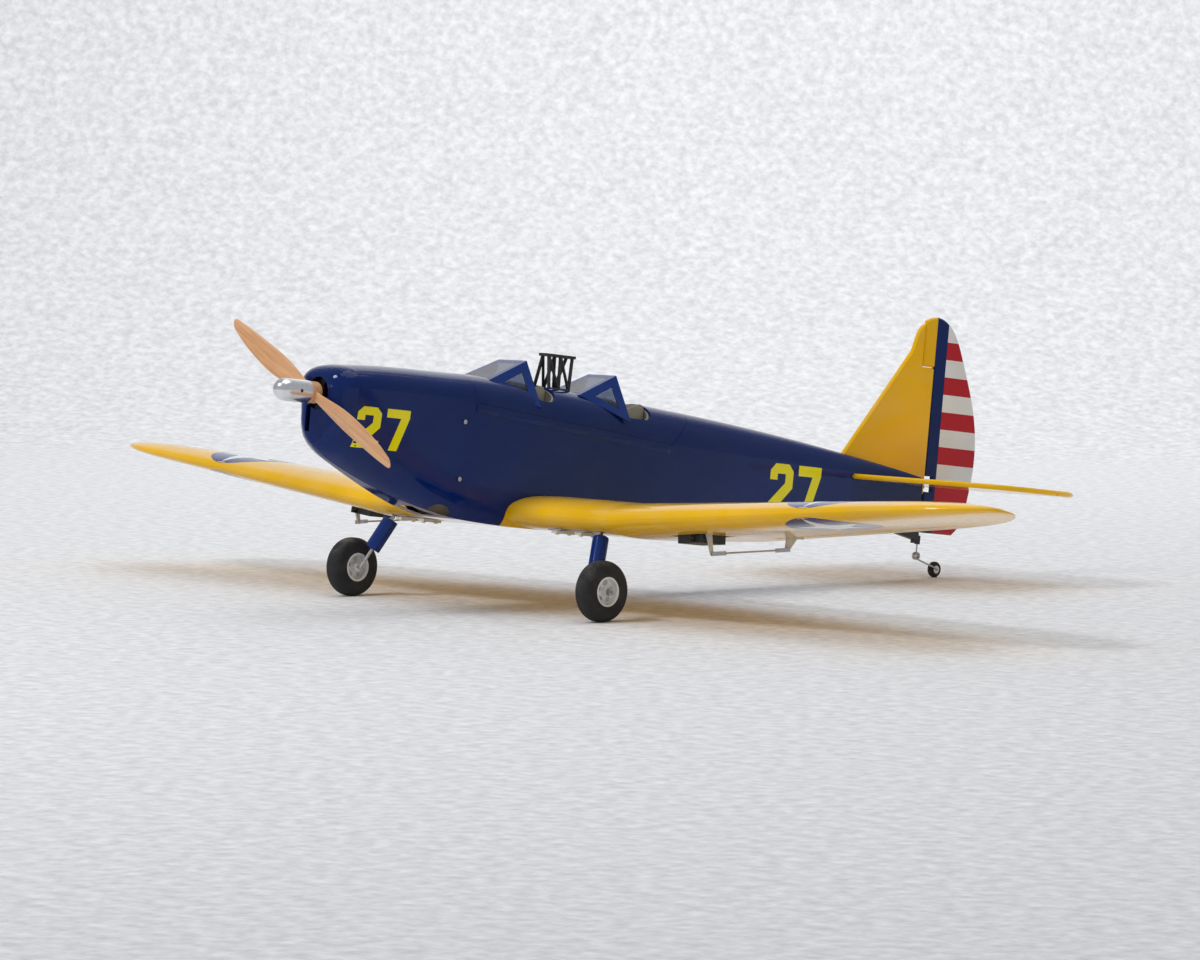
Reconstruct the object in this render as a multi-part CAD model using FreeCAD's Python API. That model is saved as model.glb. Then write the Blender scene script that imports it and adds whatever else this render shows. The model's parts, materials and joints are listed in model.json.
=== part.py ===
import FreeCAD, Part
import math
import os

# Radio-controlled low-wing trainer, about a 60 inch model, standing on its three wheels.
# Drawn level in a datum frame and turned to its ground attitude at the end:
# thrust line along Y at z = 0, nose towards -Y, port wing towards +X, millimetres.

V = FreeCAD.Vector

# ---- overall sizes ----
SPAN = 1472.0
CENTRE_SPAN = 410.0          # flat centre section of the wing
ROOT_CHORD = 262.0
WING_NOSE_Y = 73.0
WING_Z = -115.0              # chord line of the centre section
DIHEDRAL = 5.0               # degrees
INCIDENCE = 1.5              # degrees
LEADING_SWEEP = 0.046        # rise of y per mm of span
TRAILING_TAPER = 0.152
ROOT_THICKNESS = 0.168       # share of the chord
TIP_THICKNESS = 0.125
TIP_START_LEAD = 640.0       # where the leading edge starts to round off
TIP_START_TRAIL = 540.0
TIP_ROUND_LEAD = 45.0
TIP_ROUND_TRAIL = 100.0
TIP_STEPS = 16               # stations round each tip

# ---- fuselage ----
NOSE_Y = -190.0              # front face of the cowl
FIREWALL_Y = 8.0             # rear edge of the cowl
TAIL_POST_Y = 821.0
WALL = 2.5
COWL_WALL = 1.8
SHAFT_OPENING = 18.5         # radius of the round opening in the cowl
NOSE_ROUND = 28.0            # how far back the rounded front of the cowl reaches
NOSE_CHEEK = 26.0            # how far it draws in the sides
NOSE_CROWN = 14.0            # how far it draws in the top
NOSE_CHIN = 8.0              # how far it draws in the chin
# y, half width, top, shoulder, chine, bottom, half width of the bottom
COWL_STATIONS = [
    (NOSE_Y + NOSE_ROUND, 46.0, 34.5, 9.0, -35.0, -77.0, 3.5),
    (NOSE_Y + 60, 47.3, 37.0, 10.0, -47.0, -90.5, 6.5),
    (NOSE_Y + 125, 48.0, 39.0, 10.0, -71.0, -112.5, 18.0),
    (FIREWALL_Y, 48.0, 40.0, 10.0, -92.0, -128.0, 34.0),
]
BODY_STATIONS = [
    (FIREWALL_Y, 48.0, 40.0, 10.0, -92.0, -128.0, 34.0),
    (120.0, 47.0, 38.0, 1.0, -104.0, -132.0, 35.0),
    (240.0, 44.0, 32.0, -9.0, -104.0, -130.0, 33.0),
    (370.0, 38.5, 24.5, -17.0, -100.0, -124.0, 30.0),
    (520.0, 28.0, 13.0, -21.0, -92.0, -112.0, 21.0),
    (675.0, 15.0, -3.0, -25.0, -83.0, -98.0, 11.0),
    (TAIL_POST_Y, 4.5, -21.0, -30.0, -78.0, -89.0, 3.0),
]
INNER_END_Y = 675.0          # the hollow ends here, the rest is a solid tail block
BELLY_Z = -140.0             # lower than every skin, for cutting tools

# ---- hatch, cockpits and what stands on the deck ----
HATCH_FRONT_Z = 8.0
HATCH_REAR_Y = 337.0
HATCH_REAR_Z = -17.0
HATCH_RAKE = 46.0            # the rear seam runs aft and up by this much
SEAM_GAP = 0.4
HATCH_TRAVEL = 0.06
FRONT_COCKPIT = (106.0, 142.0)          # y from, y to
REAR_COCKPIT = (253.0, 305.0)
COCKPIT_DIP = 20.0           # how far the openings reach down the sides of the deck
TUB_DEPTH = 34.0
TUB_WALL = 1.2
SEAT_HALF = 21.0
SEAT_WALL = 2.0
SCREENS = (42.0, 188.0)      # front edges of the two windscreens
SCREEN_LENGTH = 62.0
SCREEN_RISE = 24.0
SCREEN_HALF_TOP = 24.0
SCREEN_HALF_FRONT = 29.0
SCREEN_HALF_REAR = 49.0
SCREEN_LEAN = 7.0            # the rear posts' feet stand this much further aft than their tops
SCREEN_WALL = 1.6
ROOF_PANE = 0.76             # size of each pane as a share of its side of the frame
SIDE_PANE = 0.46
PANE_FIT = 0.005
PANE_T = 0.8
PYLON_Y = (152.0, 198.0)
PYLON_TOP_Z = 76.0
PYLON_HEAD_HALF = 5.0
PYLON_FOOT_HALF = 13.0
PYLON_CAP_T = 3.4
PYLON_BAR_R = 2.1
PYLON_BRACE_R = 1.8

# ---- power ----
PROP_R = 165.0
# share of the radius, blade width, how far the middle of the blade sits behind the radius
BLADE_STATIONS = [
    (0.04, 12.0, 0.0), (0.12, 15.0, 0.0), (0.25, 21.0, 0.4), (0.40, 25.5, 0.8), (0.55, 25.0, 0.6),
    (0.70, 22.0, -0.2), (0.84, 17.5, -1.6), (0.94, 12.5, -3.0), (0.985, 8.0, -4.2), (1.0, 3.5, -5.2),
]
PROP_HUB_R = 12.5
PROP_HUB_T = 15.0
PROP_GAP = 2.0               # between hub and cowl face
PROP_REST = 154.0            # degrees from port, first blade
NUT_R = 13.0
NUT_LENGTH = 45.0
SHAFT_R = 3.0
HUB_BACK_Y = NOSE_Y - PROP_GAP
HUB_FRONT_Y = HUB_BACK_Y - PROP_HUB_T
NUT_FRONT_Y = HUB_FRONT_Y - NUT_LENGTH
MOTOR_R = 21.0
BELL_LENGTH = 34.0
MOTOR_FRONT_Y = HUB_BACK_Y + 9.0
MOTOR_BACK_Y = MOTOR_FRONT_Y + BELL_LENGTH
MOTOR_BOX = 25.0             # half width of the ply motor box
FIREWALL_T = 5.0

# ---- undercarriage ----
WHEEL_R = 35.0
WHEEL_W = 22.0
HUB_R = 17.0
WHEEL_X = 217.0
WHEEL_Y = 72.3
WHEEL_Z = -195.2
AXLE_R = 2.0
LEG_TOP = V(180.0, 100.0, -129.0)
LEG_FAIRING_R = 9.5
LEG_FAIRING_L = 42.0
LEG_FAIRING_DROP = 7.0       # from the wing to the top of the fairing
STRAP_SCREW_R = 1.25
RUNNING_FIT = 0.05
TAIL_WHEEL_R = 10.0
TAIL_WHEEL_W = 8.0
TAIL_HUB_R = 5.0
HINGE_Y = TAIL_POST_Y + 4.0  # hinge line of rudder and elevator
TAIL_WHEEL_Y = HINGE_Y + 36.0
TAIL_WHEEL_Z = -137.0
TAIL_WIRE_R = 1.1
COIL_R = 4.0
COIL_STEP = 2.0

# ---- control surfaces ----
SLOT = 0.8                   # open gap ahead of a hinge line
BEVEL = 34.0                 # degrees, leaves room for the throw
AILERON_IN = 290.0
AILERON_OUT = 600.0
AILERON_CHORD_IN = 53.0
AILERON_CHORD_OUT = 44.0
HORN_R = 18.0                # rod hole to hinge line, and the servo arms to match
HORN_X = 306.0
AILERON_HORN_R = 22.0
AILERON_ARM_DROP = 12.0      # servo shaft lower than the hinge line
HORN_FOLLOW = 7.0            # rod hole aft of the hinge line on the ailerons
AILERON_SERVO_AHEAD = 120.0  # rod length of the ailerons
TAILPLANE_Z = -30.0
TAIL_T = 6.4
RIM_EASE = 1.9               # chamfer round the rims of tail surfaces
TAIL_HALF = 228.0
TAILPLANE_NOSE_Y = HINGE_Y - 144.0
ELEVATOR_CHORD = 61.0
ELEVATOR_INNER = 9.0
JOINER_BACK = 9.0
JOINER_R = 1.3
FIN_T = TAIL_T
FIN_NOSE_Y = HINGE_Y - 153.0
FIN_TOP_Z = 182.0
BALANCE_CHORD = 20.0
RUDDER_HINGES = (-5.0, 60.0)
RUDDER_FOOT_Z = -92.0
BALANCE_Z = 118.0            # underside of the rudder's horn balance
PIN_R = 0.6
PIN_REACH = 6.5
KNUCKLE_R = 1.5
ROD_R = 1.0
ROD_ROOM = 3.6
END_GAP = 2.2                # at each end of an aileron
CLEVIS_T = 2.4
CLEVIS_PIN_R = 0.8
ARM_T = 2.0
ROD_GAP = 0.35               # between a clevis and the arm beside it
AILERON_ROD_GAP = 0.9        # more on the ailerons, whose rods cross the swept hinge line askew
ROD_ASIDE = ARM_T / 2 + ROD_GAP + CLEVIS_T / 2
ELEVATOR_ROD_X = -24.0
ELEVATOR_ROD_Z = TAILPLANE_Z - HORN_R
RUDDER_ROD_Z = -64.0

# ---- wing joining ----
TUBE_Y = WING_NOSE_Y + ROOT_CHORD * 0.33
TUBE_Z = WING_Z + 2.0
TUBE_R = 6.0
TUBE_WALL = 1.0
TUBE_INBOARD = 90.0
TUBE_OUTBOARD = 48.0
BOLT_R = 3.0
BOLT_X = 20.0
BOLT_Y = WING_NOSE_Y + ROOT_CHORD - 32.0
BOLT_Z = -124.0
DOWEL_R = 3.0
DOWEL_X = 22.0
DOWEL_Z = WING_Z + 4.0

# ---- standard servo ----
SERVO_L = 40.5
SERVO_W = 20.0
SERVO_H = 36.0
SHAFT_BACK = 10.0            # output shaft from the near end of the case
SERVO_TOP = ARM_T / 2 + 0.8  # from the middle of the arm to the top of the output boss
ELEVATOR_SERVO_Y = 330.0
RUDDER_SERVO_Y = 372.0
SERVO_TRAY_Z = -76.0

# ---- radio and battery ----
TRAY_Z = -52.0
TRAY_T = 3.0
BATTERY_W = 44.0
BATTERY_L = 135.0
BATTERY_H = 32.0
BATTERY_Y = 30.0
STRAP_Y = (60.5, 120.5)
STRAP_W = 20.0


# ================= helpers =================

def box(x0, x1, y0, y1, z0, z1):
    return Part.makeBox(x1 - x0, y1 - y0, z1 - z0, V(x0, y0, z0))


def rod(start, end, radius):
    """Round bar from one point to another."""
    way = end.sub(start)
    return Part.makeCylinder(radius, way.Length, start, way)


def side_prism(points, x0, x1):
    """Outline in the YZ plane, drawn out along X."""
    ring = [V(x0, y, z) for y, z in points]
    face = Part.Face(Part.makePolygon(ring + [ring[0]]))
    return face.extrude(V(x1 - x0, 0, 0))


def plate(points, thickness):
    """Flat plate with the given corners, as thick as asked on its right-hand side."""
    face = Part.Face(Part.makePolygon(points + [points[0]]))
    normal = face.normalAt(0.5, 0.5)
    return face.extrude(normal.multiply(thickness))


def mirrored(shape):
    return shape.mirror(V(0, 0, 0), V(1, 0, 0))


def both(shape):
    return Part.makeCompound([shape, mirrored(shape)])


def group(shapes):
    return Part.makeCompound(shapes)


def bar_through(points, radius):
    """Bent wire: straight runs with ball corners."""
    wire = rod(points[0], points[1], radius)
    for i in range(1, len(points) - 1):
        wire = wire.fuse(Part.makeSphere(radius, points[i]))
        wire = wire.fuse(rod(points[i], points[i + 1], radius))
    return wire


def bolt(point, way, shank_r, length, head_r, head_h):
    """Round-headed screw, its head standing out at the given point."""
    inward = V(way).normalize()
    head = Part.makeCylinder(head_r, head_h, point.sub(V(inward).multiply(head_h)), inward)
    slot_w = head_r * 0.3
    recess = Part.makeCylinder(slot_w, head_h * 0.6, point.sub(V(inward).multiply(head_h)), inward)
    return head.cut(recess).fuse(Part.makeCylinder(shank_r, length, point, inward))


# ================= fuselage =================

def section(station, inset=0.0):
    """Closed outline of the fuselage at one station: arched deck, flat sides, rounded belly."""
    y, half, top, shoulder, chine, bottom, half_bottom = station
    half -= inset
    top -= inset
    bottom += inset
    half_bottom = max(half_bottom - inset * 0.4, 0.6)
    side = half - (half - half_bottom) * 0.12
    arch = top - shoulder

    def curve(poles):
        line = Part.BezierCurve()
        line.setPoles([V(x, y, z) for x, z in poles])
        return line.toShape()

    def run(a, b):
        return Part.makeLine(V(a[0], y, a[1]), V(b[0], y, b[1]))

    belly = [(half_bottom, bottom), (side, bottom + (chine - bottom) * 0.25), (side, chine)]
    deck = [(half, shoulder), (half, shoulder + arch * 0.72), (half * 0.62, top), (0, top)]
    left = [(-x, z) for x, z in reversed(deck)]
    left_belly = [(-x, z) for x, z in reversed(belly)]
    edges = [
        run((-half_bottom, bottom), (half_bottom, bottom)),
        curve(belly),
        run((side, chine), (half, shoulder)),
        curve(deck),
        curve(left),
        run((-half, shoulder), (-side, chine)),
        curve(left_belly),
    ]
    return Part.Wire(edges)


def body_loft(stations, inset=0.0):
    return Part.makeLoft([section(s, inset) for s in stations], True, False)


def between(stations, y):
    """Station at any y, straight-lined between its neighbours."""
    for a, b in zip(stations, stations[1:]):
        if a[0] <= y <= b[0]:
            t = (y - a[0]) / (b[0] - a[0])
            return tuple(p + (q - p) * t for p, q in zip(a, b))
    raise ValueError("no station there")


def deck_height(y):
    return between(BODY_STATIONS, y)[2]


BODY_OUTER = body_loft(BODY_STATIONS)
INNER_STATIONS = [s for s in BODY_STATIONS if s[0] <= INNER_END_Y]
BODY_INNER = body_loft(INNER_STATIONS, WALL)


def hatch_region(gap):
    """Side outline of the lift-off deck, larger by the gap."""
    rear_top = (HATCH_REAR_Y + HATCH_RAKE + gap, HATCH_REAR_Z + HATCH_RAKE)
    points = [
        (FIREWALL_Y - 5.0, HATCH_FRONT_Z - gap),
        (FIREWALL_Y, HATCH_FRONT_Z - gap),
        (HATCH_REAR_Y + gap, HATCH_REAR_Z - gap),
        rear_top,
        (rear_top[0] + 90.0, rear_top[1] + 90.0),
        (FIREWALL_Y - 5.0, rear_top[1] + 90.0),
    ]
    return side_prism(points, -70.0, 70.0)


def fuselage_shell():
    shell = BODY_OUTER.cut(BODY_INNER)
    shell = shell.cut(hatch_region(0.0))
    shell = shell.cut(wing_centre_solid(SEAM_GAP)).cut(belly_region(SEAM_GAP))
    shell = shell.cut(box(-60, 60, TAILPLANE_NOSE_Y - 1, TAIL_POST_Y + 1,
                          TAILPLANE_Z - TAIL_T / 2, TAILPLANE_Z + TAIL_T / 2))
    shell = shell.cut(fin_solid())
    shell = shell.cut(rod_passages())
    return max(shell.Solids, key=lambda s: s.Volume)


def belly_region(grow=0.0):
    """Room under the wing that its belly fairing fills, from the wing's nose to its trailing edge."""
    back = WING_NOSE_Y + ROOT_CHORD + grow
    return box(-60, 60, WING_NOSE_Y - grow, back, BELLY_Z, wing_z(0) + grow)


def rod_lines():
    """Where the two tail pushrods run: x and z of each rod's middle."""
    return ((ELEVATOR_ROD_X - ROD_ASIDE, ELEVATOR_ROD_Z), (-HORN_R, RUDDER_ROD_Z - ROD_ASIDE))


def rod_passages():
    """Room for the two tail pushrods, from inside the fuselage to where they leave its side."""
    passages = []
    for x, z in rod_lines():
        start = TAIL_POST_Y
        while between(BODY_STATIONS, start)[1] < abs(x) + 6.0:
            start -= 5.0
        passages.append(box(x - ROD_ROOM, x + ROD_ROOM, start, TAIL_POST_Y + 2, z - ROD_ROOM, z + ROD_ROOM))
    return group(passages)


def hatch_deck():
    skin = BODY_OUTER.cut(BODY_INNER).common(hatch_region(-SEAM_GAP))
    skin = skin.cut(box(-70, 70, FIREWALL_Y - 6, FIREWALL_Y + SEAM_GAP, -20, 80))
    for y0, y1 in (FRONT_COCKPIT, REAR_COCKPIT):
        skin = skin.cut(cockpit_hole(y0, y1))
    return max(skin.Solids, key=lambda s: s.Volume)


def cockpit_floor(y0, y1):
    return deck_height((y0 + y1) / 2) - TUB_DEPTH


def cockpit_hole(y0, y1):
    """Opening across the deck, rounded where it reaches down the sides."""
    low = deck_height((y0 + y1) / 2) - COCKPIT_DIP
    hole = box(-60, 60, y0, y1, low, 80)
    corners = [e for e in hole.Edges if abs(e.Vertexes[0].X - e.Vertexes[-1].X) > 50 and e.Vertexes[0].Z < low + 1]
    return hole.makeFillet(COCKPIT_DIP * 0.6, corners)


def cockpit_tub(y0, y1):
    """Open tray under one cockpit opening, lining it on all sides."""
    low = cockpit_floor(y0, y1)
    room = body_loft(INNER_STATIONS, WALL + SEAM_GAP)
    outer = room.common(box(-60, 60, y0 - TUB_WALL, y1 + TUB_WALL, low, 80))
    inner = body_loft(INNER_STATIONS, WALL + SEAM_GAP + TUB_WALL)
    hollow = inner.common(box(-60, 60, y0, y1, low + TUB_WALL, 80))
    tub = outer.cut(hollow).cut(cockpit_hole(y0 + TUB_WALL, y1 - TUB_WALL))
    return max(tub.Solids, key=lambda s: s.Volume)


def seat(y0, y1):
    """Bucket seat on the tub floor: pan, rounded back and two deep sides."""
    floor = cockpit_floor(y0, y1) + TUB_WALL
    crown = deck_height((y0 + y1) / 2) - 1.5
    back = y1 - TUB_WALL - 1.0
    front = y0 + 7.0
    profile = [(front, floor), (front, floor + 15), (front + 5, floor + 21), (back - 13, crown - 2.5),
               (back - 8, crown), (back - 3, crown - 1), (back, crown - 5), (back, floor)]
    block = side_prism(profile, -SEAT_HALF, SEAT_HALF)
    hollow = side_prism([(front - 1, floor + 4), (front - 1, crown + 9), (back - 4, crown + 9), (back - 4, floor + 4)],
                        -SEAT_HALF + SEAT_WALL, SEAT_HALF - SEAT_WALL)
    return block.cut(hollow)


def dash(y0, y1):
    """Instrument panel under the front rim of an opening."""
    top = deck_height(y0) - WALL - 5.0
    half = SEAT_HALF + 3.0
    panel = box(-half, half, y0 + 0.4, y0 + 2.4, top - 16.0, top)
    for x in (-half * 0.6, 0.0, half * 0.6):
        dial = Part.makeCylinder(3.6, 1.0, V(x, y0 + 2.4, top - 8.0), V(0, 1, 0))
        panel = panel.fuse(dial)
    return panel.cut(cockpit_tub(y0, y1))


def screen_corners(front_y):
    """Corner points of one windscreen: front base, top rear, rear foot (port side)."""
    crown = deck_height(front_y)
    rear_y = front_y + SCREEN_LENGTH
    a = V(SCREEN_HALF_FRONT, front_y, crown - 4.0)
    b = V(SCREEN_HALF_TOP, rear_y, crown + SCREEN_RISE)
    c = V(SCREEN_HALF_REAR, rear_y + SCREEN_LEAN, crown - 30.0)
    return a, b, c


def shrunk(points, share):
    """The same outline, drawn in towards its middle."""
    middle = V(0, 0, 0)
    for p in points:
        middle = middle.add(p)
    middle.multiply(1.0 / len(points))
    return [middle.add(p.sub(middle).multiply(share)) for p in points]


def flip(point):
    return V(-point.x, point.y, point.z)


def screen_panels(front_y):
    a, b, c = screen_corners(front_y)
    roof = [flip(a), a, b, flip(b)]
    side = [a, c, b]
    far_side = [flip(b), flip(c), flip(a)]
    return roof, side, far_side


def windscreen_frame(front_y):
    roof, side, far_side = screen_panels(front_y)
    frame = plate(roof, -SCREEN_WALL)
    for outline in (side, far_side):
        frame = frame.fuse(plate(outline, -SCREEN_WALL))
    for outline, share in ((roof, ROOF_PANE), (side, SIDE_PANE), (far_side, SIDE_PANE)):
        frame = frame.cut(plate(shrunk(outline, share), -8).fuse(plate(shrunk(outline, share), 8)))
    return frame.cut(BODY_OUTER)


def windscreen_panes(front_y):
    roof, side, far_side = screen_panels(front_y)
    panes = []
    for outline, share in ((roof, ROOF_PANE), (side, SIDE_PANE), (far_side, SIDE_PANE)):
        panes.append(plate(shrunk(outline, share - PANE_FIT), -PANE_T).cut(BODY_OUTER))
    return group(panes)


def crash_pylon():
    """Black truss between the cockpits: a top plate on two braced side frames."""
    y0, y1 = PYLON_Y
    top = PYLON_TOP_Z
    parts = box(-PYLON_HEAD_HALF - 2, PYLON_HEAD_HALF + 2, y0 - 1, y1, top - PYLON_CAP_T, top)
    foot_z = deck_height((y0 + y1) / 2) - 1.0
    rear_foot = SCREENS[1] - PYLON_BAR_R - 1.5
    for side in (1, -1):
        head_x = side * PYLON_HEAD_HALF
        foot_x = side * PYLON_FOOT_HALF
        heads = [V(head_x, y0 + 4 + i * (y1 - y0 - 8) / 2, top - PYLON_CAP_T / 2) for i in range(3)]
        feet = [V(foot_x, y, foot_z) for y in (y0 + 1, (y0 + rear_foot) / 2, rear_foot)]
        for head, foot in zip(heads, feet):
            parts = parts.fuse(rod(head, foot, PYLON_BAR_R))
        parts = parts.fuse(rod(heads[0], feet[1], PYLON_BRACE_R)).fuse(rod(heads[1], feet[2], PYLON_BRACE_R))
        parts = parts.fuse(rod(feet[0], feet[2], PYLON_BAR_R))
    return parts.cut(BODY_OUTER)


def nose_stations():
    """Stations that round the front rim of the cowl along a quarter circle."""
    full = COWL_STATIONS[0]
    after = COWL_STATIONS[1]
    slope = (after[5] - full[5]) / (after[0] - full[0])
    stations = []
    for turn in range(90, -1, -10):
        back = NOSE_ROUND * (1 - math.sin(math.radians(turn)))
        step = 1 - math.cos(math.radians(turn))
        lift = slope * (back - NOSE_ROUND)
        crown = NOSE_CROWN * step
        chin = NOSE_CHIN * step
        _, half, top, shoulder, chine, bottom, half_bottom = full
        stations.append((NOSE_Y + back, half - NOSE_CHEEK * step, top - crown, shoulder - crown * 0.4,
                         chine + lift + chin * 0.5, bottom + lift + chin, half_bottom - chin * 0.2))
    return stations


def cowl():
    outer = body_loft(COWL_STATIONS).fuse(Part.makeLoft([section(s) for s in nose_stations()], True, True))
    back = (FIREWALL_Y + 4,) + COWL_STATIONS[-1][1:]
    inner = body_loft(COWL_STATIONS + [back], COWL_WALL)
    front = [section(s, COWL_WALL) for s in nose_stations() if s[0] > NOSE_Y + COWL_WALL]
    inner = inner.fuse(Part.makeLoft(front, True, True))
    shell = outer.cut(inner)
    shell = shell.cut(Part.makeCylinder(SHAFT_OPENING, 20, V(0, NOSE_Y - 2, 0), V(0, 1, 0)))
    shell = shell.cut(box(-17, -9, NOSE_Y - 2, NOSE_Y + 8, -44, -14))
    shell = shell.cut(box(-12, 12, -45, FIREWALL_Y - 14, BELLY_Z, -90))
    for spot in cowl_screw_spots():
        shell = shell.cut(rod(V(-80, spot.y, spot.z), V(80, spot.y, spot.z), 1.25))
    return max(shell.Solids, key=lambda s: s.Volume)


def cowl_screw_spots():
    side = COWL_STATIONS[-1][1]
    return [V(side, FIREWALL_Y - 14.0, -16.0), V(side - 1.2, FIREWALL_Y - 14.0, -82.0)]


def cowl_screws():
    screws = [bolt(s, V(-1, 0, 0), 1.2, 9.0, 2.6, 1.4) for s in cowl_screw_spots()]
    return group([both(s) for s in screws])


def cowl_blocks():
    """Hardwood blocks behind the cowl screws, glued to the firewall."""
    blocks = []
    for s in cowl_screw_spots():
        block = box(s.x - 12, s.x - 3.2, s.y - 6, FIREWALL_Y, s.z - 6, s.z + 6)
        hole = rod(V(s.x - 14, s.y, s.z), V(s.x, s.y, s.z), 1.2)
        blocks.append(both(block.cut(hole)))
    return group(blocks)


def firewall():
    slab = box(-60, 60, FIREWALL_Y, FIREWALL_Y + FIREWALL_T, BELLY_Z, HATCH_FRONT_Z - 1)
    wall = body_loft(BODY_STATIONS, WALL + 0.2).common(slab)
    return wall.cut(rod(V(0, 0, -60), V(0, 30, -60), 8.0))


def formers():
    """Three ply formers with lightening holes, behind the wing and in the tail."""
    rings = []
    for y in (400.0, 500.0, 600.0):
        slice_ = body_loft(INNER_STATIONS, WALL + 0.2).common(box(-60, 60, y, y + 3, BELLY_Z, 40))
        _, half, top, _, _, bottom, _ = between(BODY_STATIONS, y)
        hole = box(-half * 0.86 + 2, half * 0.55, y - 1, y + 4, bottom + 16, top - 18)
        for x, z in rod_lines():
            slice_ = slice_.cut(box(x - ROD_ROOM, x + ROD_ROOM, y - 1, y + 4, z - ROD_ROOM, z + ROD_ROOM))
        rings.append(slice_.cut(hole))
    return group(rings)


# ================= wing =================

def foil(x, nose_y, nose_z, chord, thickness, grow=0.0):
    """Closed wing section at span station x, larger by the given allowance."""
    steps = 15
    upper = []
    lower = []
    tilt = math.radians(INCIDENCE)
    for i in range(steps):
        s = (1 - math.cos(math.pi * i / (steps - 1))) / 2
        half = 5 * thickness * (0.2969 * math.sqrt(s) - 0.126 * s - 0.3516 * s**2 + 0.2843 * s**3 - 0.1015 * s**4)
        camber = 0.072 * s * (1 - s)
        edge = 0.9 / chord * s
        for points, z in ((upper, camber + half + edge), (lower, camber - half * 0.85 - edge)):
            along = s * chord
            up = z * chord + (grow if points is upper else -grow)
            fore = grow * (2 * s - 1)
            points.append(V(x, nose_y + along * math.cos(tilt) + fore, nose_z + up - along * math.sin(tilt)))
    nose = V(x, nose_y - grow, nose_z)
    upper[0] = nose
    lower[0] = nose
    top = Part.BSplineCurve()
    top.interpolate(upper)
    under = Part.BSplineCurve()
    under.interpolate(list(reversed(lower)))
    return Part.Wire([top.toShape(), Part.makeLine(upper[-1], lower[-1]), under.toShape()])


def lead_y(x):
    y = WING_NOSE_Y + LEADING_SWEEP * max(x - CENTRE_SPAN / 2, 0)
    return y + TIP_ROUND_LEAD * rounding(x, TIP_START_LEAD)


def trail_y(x):
    y = WING_NOSE_Y + ROOT_CHORD - TRAILING_TAPER * max(x - CENTRE_SPAN / 2, 0)
    return y - TIP_ROUND_TRAIL * rounding(x, TIP_START_TRAIL)


def rounding(x, start):
    """0 inboard of the start, 1 at the very tip, following a quarter ellipse."""
    if x <= start:
        return 0.0
    s = min((x - start) / (SPAN / 2 - start), 1.0)
    return 1 - math.sqrt(max(1 - s * s, 0.0))


def wing_z(x):
    return WING_Z + max(x - CENTRE_SPAN / 2, 0) * math.tan(math.radians(DIHEDRAL))


def wing_thickness(x):
    share = max(x - CENTRE_SPAN / 2, 0) / (SPAN / 2 - CENTRE_SPAN / 2)
    return ROOT_THICKNESS + (TIP_THICKNESS - ROOT_THICKNESS) * share


def wing_section(x, grow=0.0):
    return foil(x, lead_y(x), wing_z(x), trail_y(x) - lead_y(x), wing_thickness(x), grow)


def wing_centre_solid(grow=0.0):
    """Centre section as one body, straight across the fuselage."""
    half = CENTRE_SPAN / 2
    start = foil(-half, lead_y(0), wing_z(0), trail_y(0) - lead_y(0), ROOT_THICKNESS, grow)
    return Part.Face(start).extrude(V(CENTRE_SPAN, 0, 0))


def panel_solid():
    """Outer panel of the port wing, from the centre section to the rounded tip."""
    straight = Part.makeLoft([wing_section(CENTRE_SPAN / 2), wing_section(TIP_START_TRAIL)], True, True)
    reach = SPAN / 2 - TIP_START_TRAIL
    stops = [TIP_START_TRAIL + reach * math.sin(math.radians(90 * i / TIP_STEPS)) for i in range(TIP_STEPS)]
    curved = Part.makeLoft([wing_section(x) for x in stops] + [wing_section(SPAN / 2 - 0.1)], True, True)
    return straight.fuse(curved).removeSplitter()


def aileron_chord(x):
    share = (x - AILERON_IN) / (AILERON_OUT - AILERON_IN)
    return AILERON_CHORD_IN + (AILERON_CHORD_OUT - AILERON_CHORD_IN) * share


def straight_trail(x):
    return WING_NOSE_Y + ROOT_CHORD - TRAILING_TAPER * (x - CENTRE_SPAN / 2)


def aileron_axis(x):
    """Point on the port aileron's hinge line, in the middle of the wing's thickness."""
    y = straight_trail(x) - aileron_chord(x)
    chord = straight_trail(x) - WING_NOSE_Y
    s = (y - WING_NOSE_Y) / chord
    z = wing_z(x) + 0.072 * s * (1 - s) * chord - (y - WING_NOSE_Y) * math.sin(math.radians(INCIDENCE))
    return V(x, y, z + 0.3)


AXIS_IN = aileron_axis(AILERON_IN)
AXIS_OUT = aileron_axis(AILERON_OUT)
AILERON_DIR = AXIS_OUT.sub(AXIS_IN).normalize()


def on_axis(x):
    """Point of the straight hinge line at span station x."""
    t = (x - AXIS_IN.x) / (AXIS_OUT.x - AXIS_IN.x)
    return AXIS_IN.add(AXIS_OUT.sub(AXIS_IN).multiply(t))


def aileron_wedge(x0, x1, forward, flat):
    """Room of the aileron: everything aft of the hinge line, bevelled or flat at its front."""
    wires = []
    slope = math.tan(math.radians(BEVEL))
    for x in (x0, x1):
        p = on_axis(x)
        if flat:
            front = [V(x, p.y - forward, p.z - 60), V(x, p.y - forward, p.z + 60)]
            ring = [front[0], front[1], V(x, p.y + 120, p.z + 60), V(x, p.y + 120, p.z - 60)]
        else:
            ring = [V(x, p.y - forward, p.z), V(x, p.y + 60 * slope, p.z + 60),
                    V(x, p.y + 120, p.z + 60), V(x, p.y + 120, p.z - 60), V(x, p.y + 60 * slope, p.z - 60)]
        wires.append(Part.makePolygon(ring + [ring[0]]))
    return Part.makeLoft(wires, True, True)


def knuckle_stations():
    return [AILERON_IN + 45.0, (AILERON_IN + AILERON_OUT) / 2, AILERON_OUT - 35.0]


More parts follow.
